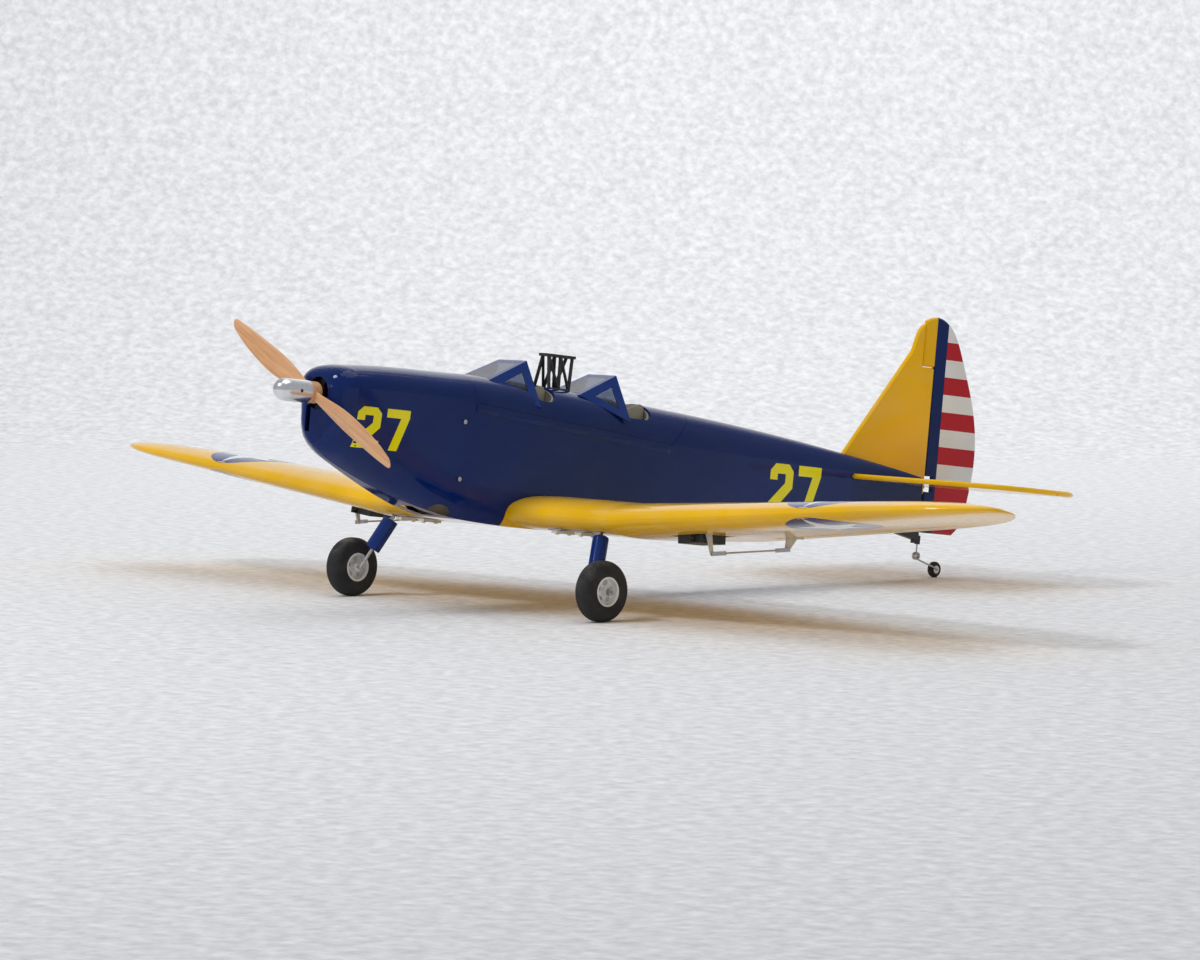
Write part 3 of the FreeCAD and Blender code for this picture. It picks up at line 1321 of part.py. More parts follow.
def propeller():
    """Two-bladed wooden propeller with a thick round hub."""
    one = blade()
    other = one.copy()
    other.rotate(V(0, 0, 0), V(0, 1, 0), 180)
    hub = Part.makeCylinder(PROP_HUB_R, PROP_HUB_T, V(0, HUB_FRONT_Y, 0), V(0, 1, 0))
    hub = hub.makeFillet(1.5, [e for e in hub.Edges if e.Closed])
    prop = hub.fuse(one).fuse(other)
    prop = prop.cut(Part.makeCylinder(SHAFT_R, 40, V(0, HUB_FRONT_Y - 5, 0), V(0, 1, 0)))
    prop.rotate(V(0, 0, 0), V(0, 1, 0), -PROP_REST)
    return prop


def prop_nut():
    """Polished bullet nut with its tommy-bar hole."""
    base = V(0, HUB_FRONT_Y, 0)
    straight = NUT_LENGTH - NUT_R * 1.15
    shoulder_y = HUB_FRONT_Y - straight
    profile = [base, V(NUT_R, HUB_FRONT_Y, 0), V(NUT_R, shoulder_y, 0)]
    nose = Part.Ellipse(V(0, NUT_FRONT_Y, 0), V(NUT_R, shoulder_y, 0), V(0, shoulder_y, 0))
    edges = [Part.makeLine(profile[0], profile[1]), Part.makeLine(profile[1], profile[2]),
             Part.ArcOfEllipse(nose, *nose_range(nose, profile[2])).toShape(),
             Part.makeLine(V(0, NUT_FRONT_Y, 0), profile[0])]
    face = Part.Face(Part.Wire(Part.sortEdges(edges)[0]))
    nut = face.revolve(base, V(0, 1, 0), 360)
    nut = nut.cut(Part.makeCylinder(SHAFT_R, 24, V(0, HUB_FRONT_Y - 20, 0), V(0, 1, 0)))
    hole_y = HUB_FRONT_Y - straight * 0.55
    return nut.cut(Part.makeCylinder(2.0, 40, V(-20, hole_y, 0), V(1, 0, 0)))


def nose_range(ellipse, start):
    first = ellipse.parameter(start)
    last = ellipse.parameter(V(0, NUT_FRONT_Y, 0))
    return (min(first, last), max(first, last))


def motor_shaft():
    """Prop shaft from the nut through hub and washer into the motor."""
    return Part.makeCylinder(SHAFT_R, 90.0, V(0, HUB_FRONT_Y - 19, 0), V(0, 1, 0))


def prop_washer():
    ring = Part.makeCylinder(10.0, 5.0, V(0, HUB_BACK_Y, 0), V(0, 1, 0))
    return ring.cut(Part.makeCylinder(SHAFT_R, 9.0, V(0, HUB_BACK_Y - 2, 0), V(0, 1, 0)))


def motor_bell():
    """Rotor bell, turning, with open windows in its face."""
    bell = Part.makeCylinder(MOTOR_R, BELL_LENGTH, V(0, MOTOR_FRONT_Y, 0), V(0, 1, 0))
    front_rim = [e for e in bell.Edges if e.Closed and e.Vertexes[0].Y < MOTOR_FRONT_Y + 1]
    bell = bell.makeFillet(2.5, front_rim)
    bell = bell.cut(Part.makeCylinder(MOTOR_R - 2.0, BELL_LENGTH, V(0, MOTOR_FRONT_Y + 3.5, 0), V(0, 1, 0)))
    for i in range(6):
        turn = math.radians(i * 60)
        hole = Part.makeCylinder(3.6, 6, V(math.cos(turn) * 13, MOTOR_FRONT_Y - 1, math.sin(turn) * 13), V(0, 1, 0))
        bell = bell.cut(hole)
    boss = Part.makeCylinder(6.0, 6.0, V(0, MOTOR_FRONT_Y - 2.5, 0), V(0, 1, 0))
    bell = bell.fuse(boss)
    return bell.cut(Part.makeCylinder(SHAFT_R, 60, V(0, MOTOR_FRONT_Y - 8, 0), V(0, 1, 0)))


def motor_stator():
    """Fixed core with twelve wound teeth and the bearing tube."""
    y0 = MOTOR_FRONT_Y + 6.0
    length = BELL_LENGTH - 6.0
    tube = Part.makeCylinder(8.0, length + 5.0, V(0, y0, 0), V(0, 1, 0))
    for i in range(12):
        tooth = box(-2.0, 2.0, y0 + 3, y0 + length - 3, 7.0, MOTOR_R - 3.2)
        tooth.rotate(V(0, 0, 0), V(0, 1, 0), i * 30)
        tube = tube.fuse(tooth)
    return tube.cut(Part.makeCylinder(SHAFT_R + 0.4, length + 20, V(0, y0 - 5, 0), V(0, 1, 0)))


def motor_mount():
    """Aluminium cross mount behind the motor."""
    y0 = MOTOR_BACK_Y + 5.0
    disc = Part.makeCylinder(16.0, 3.0, V(0, y0, 0), V(0, 1, 0))
    for i in range(4):
        arm = box(-5, 5, y0, y0 + 3, 0, MOTOR_BOX * 1.1)
        arm.rotate(V(0, 0, 0), V(0, 1, 0), 45 + i * 90)
        disc = disc.fuse(arm)
    return disc.cut(Part.makeCylinder(SHAFT_R + 0.4, 9, V(0, y0 - 3, 0), V(0, 1, 0)))


def mount_screws():
    y0 = MOTOR_BACK_Y + 5.0
    screws = []
    for i in range(4):
        turn = math.radians(45 + i * 90)
        p = V(math.cos(turn) * 22, y0, math.sin(turn) * 22)
        screws.append(bolt(p, V(0, 1, 0), 1.5, 10.0, 2.8, 1.8))
    return group(screws)


def motor_box():
    """Ply box that carries the motor, from the firewall forward."""
    y0 = MOTOR_BACK_Y + 8.0
    tube = box(-MOTOR_BOX, MOTOR_BOX, y0, FIREWALL_Y, -MOTOR_BOX, MOTOR_BOX)
    tube = tube.cut(box(-MOTOR_BOX + 3, MOTOR_BOX - 3, y0 + 4, FIREWALL_Y + 1, -MOTOR_BOX + 3, MOTOR_BOX - 3))
    tube = tube.cut(Part.makeCylinder(10, 10, V(0, y0 - 3, 0), V(0, 1, 0)))
    for y in (y0 + 30.0, y0 + 70.0):
        tube = tube.cut(rod(V(-60, y, 0), V(60, y, 0), 12.0)).cut(rod(V(0, y, -60), V(0, y, 60), 12.0))
    return tube.cut(mount_screws())


# ================= radio and battery =================

def battery_tray():
    slab = box(-60, 60, FIREWALL_Y + FIREWALL_T, 230, TRAY_Z - TRAY_T, TRAY_Z)
    slab = slab.common(body_loft(INNER_STATIONS, WALL + 0.2))
    x = BATTERY_W / 2 + 4.0
    for y in STRAP_Y:
        slot = box(x - 1.5, x + 1.5, y - 0.5, y + STRAP_W + 0.5, TRAY_Z - 5, TRAY_Z + 2)
        slab = slab.cut(both(slot))
    return slab


def battery():
    half = BATTERY_W / 2
    pack = box(-half, half, BATTERY_Y, BATTERY_Y + BATTERY_L, TRAY_Z, TRAY_Z + BATTERY_H)
    return pack.makeFillet(3.0, [e for e in pack.Edges if abs(e.Vertexes[0].Y - e.Vertexes[-1].Y) > 50])


def battery_straps():
    """Hook-and-loop straps over the pack and down through the tray slots."""
    straps = []
    half = BATTERY_W / 2 + 5.2
    for y in STRAP_Y:
        outer = box(-half, half, y, y + STRAP_W, TRAY_Z - 4.2, TRAY_Z + BATTERY_H + 2.0)
        inner = box(-half + 1.8, half - 1.8, y - 1, y + STRAP_W + 1, TRAY_Z - TRAY_T, TRAY_Z + BATTERY_H + 0.4)
        straps.append(outer.cut(inner))
    return group(straps)


def speed_controller():
    """Speed controller lying on the cowl side of the firewall, under the motor box."""
    case = box(-16, 16, -70, -6, -46, -32)
    for i in range(7):
        y = -64.0 + i * 8.0
        case = case.cut(box(-14, 14, y, y + 4, -47, -42))
    return case


def receiver():
    case = box(-12, 12, 238, 284, -58, -44)
    return case.fuse(box(-9, 9, 284, 286.5, -56, -46))


def receiver_tray():
    return box(-60, 60, 232, 290, -61, -58).common(body_loft(INNER_STATIONS, WALL + 0.2))


# ================= assembly =================

def tail_tyre():
    return ring_tyre(0.0, TAIL_WHEEL_Y, TAIL_WHEEL_Z, TAIL_WHEEL_R, TAIL_WHEEL_W, TAIL_HUB_R, 3.2)


def aileron_rod():
    return pushrod(arm_hole(), horn_hole(), AILERON_DIR, 1, AILERON_ROD_GAP)


def aileron_arm():
    return servo_arm(servo_shaft(), arm_hole(), AILERON_DIR)


def tubs():
    return group([cockpit_tub(*c) for c in (FRONT_COCKPIT, REAR_COCKPIT)])


def seats():
    return group([seat(*c) for c in (FRONT_COCKPIT, REAR_COCKPIT)])


def dashes():
    return group([dash(*c) for c in (FRONT_COCKPIT, REAR_COCKPIT)])


def fixed_nodes():
    """Everything that doesn't move on the airframe."""
    return {
        "fuselage_shell": fuselage_shell(),
        "cowl": cowl(),
        "cowl_screws": cowl_screws(),
        "ply_formers": group([firewall(), cowl_blocks(), formers(), dowel_former(), wing_bolt_plate()]),
        "motor_box": motor_box(),
        "motor_mount": group([motor_mount(), mount_screws()]),
        "motor_stator": motor_stator(),
        "battery_pack": battery(),
        "battery_straps": battery_straps(),
        "radio_trays": group([battery_tray(), receiver_tray(), servo_tray()]),
        "electronic_boxes": group([speed_controller(), receiver()]),
        "fuselage_servos": group([elevator_servo(), rudder_servo()]),
        "aileron_servos": both(aileron_servo()),
        "wing_centre": wing_centre(),
        "joiner_tubes": joiner_tubes(),
        "wing_fasteners": group([wing_bolts(), wing_dowels()]),
        "gear_wires": both(gear_wire()),
        "gear_straps": group([gear_straps(), strap_screws()]),
        "leg_fairings": both(leg_fairing()),
        "wheel_collars": wheel_collars(),
        "tailplane": tailplane(),
        "fin": fin(),
        "hinges": hinges(),
        "tail_bracket": tail_bracket(),
    }


def moving_nodes():
    """Pieces that turn, swing or lift off."""
    arm_down = elevator_shaft().add(V(0, 0, -HORN_R))
    arm_aside = rudder_shaft().add(V(-HORN_R, 0, 0))
    return {
        "motor_bell": motor_bell(),
        "prop_shaft": group([motor_shaft(), prop_washer()]),
        "propeller": propeller(),
        "prop_nut": prop_nut(),
        "elevator_servo_arm": servo_arm(elevator_shaft(), arm_down, V(1, 0, 0)),
        "rudder_servo_arm": servo_arm(rudder_shaft(), arm_aside, V(0, 0, 1)),
        "elevator_pushrod": elevator_rod(),
        "rudder_pushrod": rudder_rod(),
        "elevators": both(elevator_half()),
        "elevator_joiner": elevator_joiner(),
        "elevator_horn": elevator_horn(),
        "rudder": rudder(),
        "rudder_horn": rudder_horn(),
        "tail_wire": group([tail_wire_shape(), tail_collar()]),
        "tail_wheel_hub": tail_wheel(),
        "tail_tyre": tail_tyre(),
        "hatch_deck": hatch_deck(),
        "cockpit_tubs": tubs(),
        "cockpit_fittings": group([seats(), dashes()]),
        "windscreen_frames": group([windscreen_frame(y) for y in SCREENS]),
        "windscreen_panes": group([windscreen_panes(y) for y in SCREENS]),
        "crash_pylon": crash_pylon(),
    }


def handed_nodes():
    """Port pieces that have a mirrored starboard twin in a node of its own."""
    port = {
        "wing_panel": wing_panel(),
        "aileron": aileron(),
        "aileron_horn": aileron_horn(),
        "aileron_rod": aileron_rod(),
        "aileron_servo_arm": aileron_arm(),
        "wheel_hub": wheel_hub(),
        "tyre": ring_tyre(WHEEL_X, WHEEL_Y, WHEEL_Z, WHEEL_R, WHEEL_W, HUB_R, 8.0),
    }
    pairs = {}
    for name, shape in port.items():
        pairs[name + "_port"] = shape
        pairs[name + "_starboard"] = mirrored(shape)
    return pairs


def ground_angle():
    """Nose-up angle, in degrees, at which the main wheels and the tail wheel share the floor."""
    along = TAIL_WHEEL_Y - WHEEL_Y
    up = TAIL_WHEEL_Z - WHEEL_Z
    return math.degrees(math.atan2(up, along) + math.asin((WHEEL_R - TAIL_WHEEL_R) / math.hypot(along, up)))


def on_ground(point):
    """A point of the level drawing, turned to the ground attitude, before it is centred."""
    turn = math.radians(ground_angle())
    y = point.y * math.cos(turn) + point.z * math.sin(turn)
    z = -point.y * math.sin(turn) + point.z * math.cos(turn)
    axle = -WHEEL_Y * math.sin(turn) + WHEEL_Z * math.cos(turn)
    return V(point.x, y, z - axle + WHEEL_R)


def mid_length():
    """Middle of the model's length on the ground, between nut and rudder."""
    nose = on_ground(V(0, NUT_FRONT_Y, 0)).y
    tail = max(on_ground(V(0, HINGE_Y + 92.0, z)).y for z in (-20.0, 5.0, 20.0))
    return (nose + tail) / 2


def placed(shape):
    """Turn a node to the ground attitude, stand it on z = 0 and centre it on its length."""
    moved = shape.copy()
    moved.rotate(V(0, 0, 0), V(1, 0, 0), -ground_angle())
    lift = on_ground(V(0, 0, 0)).z
    moved.translate(V(0, -mid_length(), lift))
    return moved


def main():
    os.makedirs("parts", exist_ok=True)
    drawn = {}
    for batch in (fixed_nodes(), moving_nodes(), handed_nodes()):
        drawn.update(batch)
    for name, shape in drawn.items():
        placed(shape).exportStep("parts/" + name + ".step")
    print(len(drawn), "nodes,", "ground angle", round(ground_angle(), 2))


main()
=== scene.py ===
import json
import math

import bmesh
import bpy
from mathutils import Matrix, Vector
from mathutils.bvhtree import BVHTree


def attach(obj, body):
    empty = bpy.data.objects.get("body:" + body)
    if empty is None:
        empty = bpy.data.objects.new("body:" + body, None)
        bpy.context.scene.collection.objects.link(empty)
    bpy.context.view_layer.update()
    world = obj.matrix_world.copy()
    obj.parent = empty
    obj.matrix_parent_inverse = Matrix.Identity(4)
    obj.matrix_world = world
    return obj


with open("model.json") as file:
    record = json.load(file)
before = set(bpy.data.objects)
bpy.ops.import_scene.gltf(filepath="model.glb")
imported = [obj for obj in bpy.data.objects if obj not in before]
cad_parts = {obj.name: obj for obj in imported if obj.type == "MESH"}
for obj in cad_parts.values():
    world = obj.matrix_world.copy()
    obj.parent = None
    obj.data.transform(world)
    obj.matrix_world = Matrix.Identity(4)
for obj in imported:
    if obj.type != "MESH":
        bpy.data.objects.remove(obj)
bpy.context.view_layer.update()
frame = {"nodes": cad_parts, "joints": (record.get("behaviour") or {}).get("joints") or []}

bl_info = {
    "name": "Radio-controlled trainer aeroplane",
    "version": (1, 0, 0),
    "blender": (4, 5, 0),
    "location": "View3D > Sidebar > Model plane",
    "description": "Finishes and detail pieces for a low-wing radio-controlled trainer",
    "category": "Object",
}

# ---------------- places, taken from the frame ----------------

JOINTS = {joint["name"]: joint for joint in frame["joints"]}
NOSE = Vector(JOINTS["prop_spin"]["pos_m"])             # thrust line at the cowl's front face
AFT = Vector(JOINTS["prop_spin"]["axis"]).normalized()
UP = Vector(JOINTS["rudder_swing"]["axis"]).normalized()
PORT = Vector((1.0, 0.0, 0.0))
MM = 0.001


def at(x, along, up):
    """Point in millimetres from the thrust line at the cowl face: to port, aft and up."""
    return NOSE + (PORT * x + AFT * along + UP * up) * MM


COWL_NUMBER = (64.0, -34.0)          # aft of the cowl face and above the thrust line, in millimetres
TAIL_NUMBER = (760.0, -55.0)
DISC_PLACE = (503.0, 334.0)          # out from the middle and aft of the cowl face, in millimetres
BLADE_TURN = math.radians(154.0)     # where the first blade rests, from port

# aft of the cowl face and above the thrust line, round the strip's corners, in metres
STRIP = [(0.2005, -0.0030), (0.5240, -0.0276), (0.5240, -0.0192), (0.2005, 0.0058)]
STRIP_DEPTH = 0.0007

STRIPE_START = 0.152                 # top of the highest red stripe above the thrust line
LAST_STRIPES = 8.2                   # stripes down from there that end in the red foot
HINGE_BAND = 0.021                   # width of the navy band behind the hinge line
HINGE_SLACK = 0.0004                 # what lies this far ahead of the hinge line is the balance horn

CAST_FROM_SIDE = 0.3                 # how far out a marking starts before it is laid on the skin
CAST_FROM_ABOVE = 0.5
MARKING_STEP = 0.004                 # width of the strips a marking is cut into to follow a curve
STICKER_SMOOTH = 60.0                # degrees up to which a marking is shaded smooth
STAR_WAIST = 0.382                   # inner corners of a star as a share of its points
STAR_SHARE = 0.97                    # star as a share of its disc

PANE_TINT = (0.13, 0.16, 0.24)
PANE_SCUFF_TINT = (0.09, 0.11, 0.17)


# ---------------- user settings ----------------

def colour(name, description, default):
    return bpy.props.FloatVectorProperty(name=name, description=description, subtype="COLOR",
                                         size=3, min=0.0, max=1.0, default=default)


def length(name, description, default):
    return bpy.props.FloatProperty(name=name, description=description, subtype="DISTANCE",
                                   unit="LENGTH", min=0.0, default=default)


class FinishSettings(bpy.types.PropertyGroup):
    navy: colour("Navy", "Gloss film of the fuselage", (0.0004, 0.015, 0.115))
    frame_blue: colour("Frame blue", "Painted windscreen frames and leg fairings", (0.006, 0.032, 0.20))
    yellow: colour("Yellow", "Gloss film of wings and tail", (0.90, 0.50, 0.002))
    number_yellow: colour("Number yellow", "Numerals", (0.93, 0.80, 0.002))
    red: colour("Red", "Stripes of the rudder", (0.50, 0.012, 0.022))
    white: colour("White", "Stripes of the rudder and the stars", (0.82, 0.82, 0.80))
    disc: colour("Disc blue", "Disc behind the stars", (0.008, 0.035, 0.19))
    prop_light: colour("Prop wood, light", "Pale layers of the propeller", (0.78, 0.42, 0.20))
    prop_dark: colour("Prop wood, dark", "Darker grain of the propeller", (0.58, 0.27, 0.10))
    ivory: colour("Ivory nylon", "Servo arms, clevises and horns", (0.72, 0.68, 0.56))


class MarkingSettings(bpy.types.PropertyGroup):
    cowl_height: length("Cowl number height", "Height of the numerals on the cowl", 0.047)
    tail_height: length("Tail number height", "Height of the numerals on the rear fuselage", 0.061)
    disc_radius: length("Disc radius", "Radius of the discs on the wings", 0.054)
    stripe: length("Stripe", "Height of one rudder stripe", 0.0222)
    film: length("Film thickness", "How far a marking stands proud", 0.00012)


class StageSettings(bpy.types.PropertyGroup):
    camera_place: bpy.props.FloatVectorProperty(name="Viewer's place", description="Where the camera stands",
                                                subtype="TRANSLATION", unit="LENGTH", size=3,
                                                default=(4.3135, -4.1735, 0.504))
    heading: bpy.props.FloatProperty(name="Heading", description="Compass turn of the view", subtype="ANGLE",
                                     default=math.radians(46.490))
    dip: bpy.props.FloatProperty(name="Dip", description="How far the view looks down", subtype="ANGLE",
                                 default=math.radians(3.469))
    lean: bpy.props.FloatProperty(name="Lean", description="Roll of the view", subtype="ANGLE",
                                  default=math.radians(0.698))
    lens: bpy.props.FloatProperty(name="Lens", description="Focal length in millimetres", default=150.0)
    floor: colour("Floor", "Plain pale floor", (0.83, 0.83, 0.84))


def settings():
    return bpy.context.scene


# ---------------- node helpers ----------------

class Tree:
    """Small builder for node trees: adds nodes, sets their inputs and links them."""

    def __init__(self, tree):
        self.tree = tree

    def add(self, kind, options=None, **inputs):
        node = self.tree.nodes.new(kind)
        for key, value in (options or {}).items():
            setattr(node, key, value)
        for key, value in inputs.items():
            self.put(node, key.replace("_", " "), value)
        return node

    def put(self, node, name, value):
        socket = node.inputs[int(name[1:])] if name[0] == "#" else node.inputs[name]
        if isinstance(value, bpy.types.NodeSocket):
            self.tree.links.new(value, socket)
        elif socket.type == "RGBA" and len(value) == 3:
            socket.default_value = (*value, 1.0)
        else:
            socket.default_value = value

    def math(self, operation, a, b=0.0):
        node = self.tree.nodes.new("ShaderNodeMath")
        node.operation = operation
        for socket, value in zip(node.inputs, (a, b)):
            if isinstance(value, bpy.types.NodeSocket):
                self.tree.links.new(value, socket)
            else:
                socket.default_value = value
        return node.outputs[0]

    def mix(self, factor, a, b):
        node = self.tree.nodes.new("ShaderNodeMix")
        node.data_type = "RGBA"
        for index, value in ((0, factor), (6, a), (7, b)):
            if isinstance(value, bpy.types.NodeSocket):
                self.tree.links.new(value, node.inputs[index])
            elif index:
                node.inputs[index].default_value = (*value, 1.0)
            else:
                node.inputs[index].default_value = value
        return node.outputs[2]

    def noise(self, scale, detail=3.0, rough=0.5, vector=None):
        node = self.add("ShaderNodeTexNoise", Scale=scale, Detail=detail, Roughness=rough)
        if vector is not None:
            self.tree.links.new(vector, node.inputs["Vector"])
        return node.outputs["Fac"]

    def spread(self, value, low, high, out_low=0.0, out_high=1.0):
        node = self.tree.nodes.new("ShaderNodeMapRange")
        self.tree.links.new(value, node.inputs[0])
        for index, number in enumerate((low, high, out_low, out_high), 1):
            node.inputs[index].default_value = number
        return node.outputs[0]

    def place(self):
        return self.tree.nodes.new("ShaderNodeTexCoord").outputs["Object"]

    def mapped(self, vector, scale):
        node = self.tree.nodes.new("ShaderNodeMapping")
        self.tree.links.new(vector, node.inputs["Vector"])
        node.inputs["Scale"].default_value = scale
        return node.outputs[0]


def new_group(name, inputs, outputs):
    group = bpy.data.node_groups.new(name, "ShaderNodeTree")
    for socket, kind, default in inputs:
        item = group.interface.new_socket(socket, in_out="INPUT", socket_type="NodeSocket" + kind)
        item.default_value = (*default, 1.0) if kind == "Color" else default
    for socket, kind in outputs:
        group.interface.new_socket(socket, in_out="OUTPUT", socket_type="NodeSocket" + kind)
    start = group.nodes.new("NodeGroupInput")
    end = group.nodes.new("NodeGroupOutput")
    return group, Tree(group), start.outputs, end.inputs


def film_group():
    """Shrunk film: soft waves and a fine orange peel, with a faint unevenness of tone and gloss."""
    group, tree, given, out = new_group(
        "shrunk_film",
        [("Tint", "Color", (0.5, 0.5, 0.5)), ("Wave scale", "Float", 9.0), ("Peel scale", "Float", 700.0),
         ("Gloss low", "Float", 0.06), ("Gloss high", "Float", 0.17)],
        [("Color", "Color"), ("Roughness", "Float"), ("Height", "Float")])
    place = tree.place()
    waves = tree.add("ShaderNodeTexNoise", Scale=given["Wave scale"], Detail=2.0, Vector=place).outputs["Fac"]
    peel = tree.add("ShaderNodeTexNoise", Scale=given["Peel scale"], Detail=1.0, Vector=place).outputs["Fac"]
    smear = tree.noise(26.0, 5.0, 0.65, tree.mapped(place, (1.0, 0.35, 1.0)))
    shade = tree.add("ShaderNodeHueSaturation", Color=given["Tint"])
    tree.put(shade, "Value", tree.spread(waves, 0.3, 0.7, 0.9, 1.1))
    tree.put(shade, "Saturation", tree.spread(smear, 0.3, 0.7, 1.02, 0.95))
    tree.tree.links.new(shade.outputs[0], out["Color"])
    gloss = tree.add("ShaderNodeMapRange", Value=smear)
    tree.put(gloss, "#3", given["Gloss low"])
    tree.put(gloss, "#4", given["Gloss high"])
    gloss.inputs[1].default_value = 0.35
    gloss.inputs[2].default_value = 0.75
    tree.tree.links.new(gloss.outputs[0], out["Roughness"])
    height = tree.math("ADD", waves, tree.math("MULTIPLY", peel, 0.035))
    tree.tree.links.new(height, out["Height"])
    return group


def speckle_group():
    """Moulded or foamed surface: fine pits, blotches and settled dust on upward faces."""
    group, tree, given, out = new_group(
        "moulded_speckle",
        [("Tint", "Color", (0.5, 0.5, 0.5)), ("Dust tint", "Color", (0.35, 0.33, 0.30)),
         ("Dust", "Float", 0.2), ("Pit scale", "Float", 1200.0),
         ("Low", "Float", 0.4), ("High", "Float", 0.65)],
        [("Color", "Color"), ("Roughness", "Float"), ("Height", "Float")])
    place = tree.place()
    pits = tree.add("ShaderNodeTexNoise", Scale=given["Pit scale"], Detail=4.0, Vector=place).outputs["Fac"]
    blotch = tree.noise(60.0, 5.0, 0.6, place)
    tone = tree.spread(blotch, 0.3, 0.7, 0.82, 1.15)
    shade = tree.add("ShaderNodeHueSaturation", Color=given["Tint"], Value=tone)
    normal = tree.add("ShaderNodeNewGeometry").outputs["Normal"]
    facing = tree.add("ShaderNodeSeparateXYZ", Vector=normal).outputs["Z"]
    settled = tree.math("MULTIPLY", tree.spread(facing, -0.2, 0.9), tree.spread(blotch, 0.42, 0.68))
    amount = tree.math("MULTIPLY", settled, given["Dust"])
    mixed = tree.mix(amount, shade.outputs[0], given["Dust tint"])
    tree.tree.links.new(mixed, out["Color"])
    rough = tree.add("ShaderNodeMapRange", Value=blotch)
    tree.put(rough, "#3", given["Low"])
    tree.put(rough, "#4", given["High"])
    tree.tree.links.new(rough.outputs[0], out["Roughness"])
    tree.tree.links.new(pits, out["Height"])
    return group


def drawn_out(tree, place, along, share):
    """Coordinates squeezed along one direction, so that a pattern runs long that way."""
    dot = tree.add("ShaderNodeVectorMath", {"operation": "DOT_PRODUCT"})
    tree.put(dot, "#0", place)
    tree.put(dot, "#1", along)
    back = tree.add("ShaderNodeVectorMath", {"operation": "SCALE"})
    tree.put(back, "#0", along)
    tree.put(back, "Scale", tree.math("MULTIPLY", dot.outputs["Value"], share))
    rest = tree.add("ShaderNodeVectorMath", {"operation": "SUBTRACT"})
    tree.put(rest, "#0", place)
    tree.put(rest, "#1", back.outputs[0])
    return rest.outputs[0]


def brushed_group():
    """Drawn or turned metal: fine lines along one direction, handling marks and a tarnish."""
    group, tree, given, out = new_group(
        "drawn_metal",
        [("Tint", "Color", (0.5, 0.5, 0.5)), ("Along", "Vector", (1.0, 0.0, 0.0)), ("Low", "Float", 0.15),
         ("High", "Float", 0.4), ("Tarnish", "Float", 0.2)],
        [("Color", "Color"), ("Roughness", "Float"), ("Height", "Float")])
    place = tree.place()
    lines = tree.noise(900.0, 3.0, 0.6, drawn_out(tree, place, given["Along"], 0.85))
    marks = tree.noise(70.0, 6.0, 0.7, place)
    dull = tree.math("MULTIPLY", tree.spread(marks, 0.45, 0.75), given["Tarnish"])
    tone = tree.spread(lines, 0.2, 0.8, 0.9, 1.08)
    shade = tree.add("ShaderNodeHueSaturation", Color=given["Tint"], Value=tone)
    mixed = tree.mix(dull, shade.outputs[0], (0.10, 0.09, 0.08))
    tree.tree.links.new(mixed, out["Color"])
    rough = tree.add("ShaderNodeMapRange", Value=tree.math("ADD", tree.math("MULTIPLY", marks, 0.6),
                                                           tree.math("MULTIPLY", lines, 0.4)))
    tree.put(rough, "#3", given["Low"])
    tree.put(rough, "#4", given["High"])
    tree.tree.links.new(rough.outputs[0], out["Roughness"])
    tree.tree.links.new(lines, out["Height"])
    return group


def grain_group():
    """Wood: layered rings drawn out along the grain, pores and soft blotches."""
    group, tree, given, out = new_group(
        "wood_grain",
        [("Light", "Color", (0.7, 0.5, 0.3)), ("Dark", "Color", (0.4, 0.25, 0.12)),
         ("Along", "Vector", (1.0, 0.0, 0.0)), ("Layer scale", "Float", 160.0)],
        [("Color", "Color"), ("Roughness", "Float"), ("Height", "Float")])
    place = tree.place()
    drawn = drawn_out(tree, place, given["Along"], 0.95)
    rings = tree.noise(given["Layer scale"], 3.0, 0.55, drawn)
    pores = tree.noise(1500.0, 2.0, 0.6, drawn)
    blotch = tree.noise(25.0, 3.0, 0.5, place)
    factor = tree.spread(rings, 0.35, 0.65, 0.0, 0.8)
    factor = tree.math("ADD", factor, tree.spread(pores, 0.55, 0.75, 0.0, 0.35))
    factor = tree.math("ADD", factor, tree.spread(blotch, 0.3, 0.7, -0.15, 0.15))
    tree.tree.links.new(tree.mix(factor, given["Light"], given["Dark"]), out["Color"])
    tree.tree.links.new(tree.spread(pores, 0.3, 0.8, 0.32, 0.5), out["Roughness"])
    tree.tree.links.new(factor, out["Height"])
    return group


GROUPS = {}


def shared(name):
    makers = {"film": film_group, "speckle": speckle_group, "metal": brushed_group, "grain": grain_group}
    if name not in GROUPS:
        GROUPS[name] = makers[name]()
    return GROUPS[name]


def material(name, group, values, bump=(0.2, 0.0002), **shader):
    """Material whose colour, roughness and bump come from one shared effect."""
    made = bpy.data.materials.new(name)
    made.use_nodes = True
    tree = Tree(made.node_tree)
    made.node_tree.nodes.clear()
    effect = made.node_tree.nodes.new("ShaderNodeGroup")
    effect.node_tree = shared(group)
    for key, value in values.items():
        tree.put(effect, key, value)
    surface = tree.add("ShaderNodeBsdfPrincipled")
    for key, value in shader.items():
        tree.put(surface, key.replace("_", " "), value)
    tree.put(surface, "Base Color", effect.outputs["Color"])
    tree.put(surface, "Roughness", effect.outputs["Roughness"])
    relief = tree.add("ShaderNodeBump", Strength=bump[0], Distance=bump[1], Height=effect.outputs["Height"])
    tree.put(surface, "Normal", relief.outputs[0])
    output = tree.add("ShaderNodeOutputMaterial")
    tree.put(output, "Surface", surface.outputs[0])
    return made


def tuple_of(value):
    return tuple(value[:3])


def film(name, tint, low=0.05, high=0.14, waves=9.0, strength=0.35):
    values = {"Tint": tuple_of(tint), "Wave scale": waves, "Gloss low": low, "Gloss high": high}
    return material(name, "film", values, bump=(strength, 0.0012),
                    Coat_Weight=0.15, Coat_Roughness=0.03, Coat_IOR=1.3, IOR=1.3)


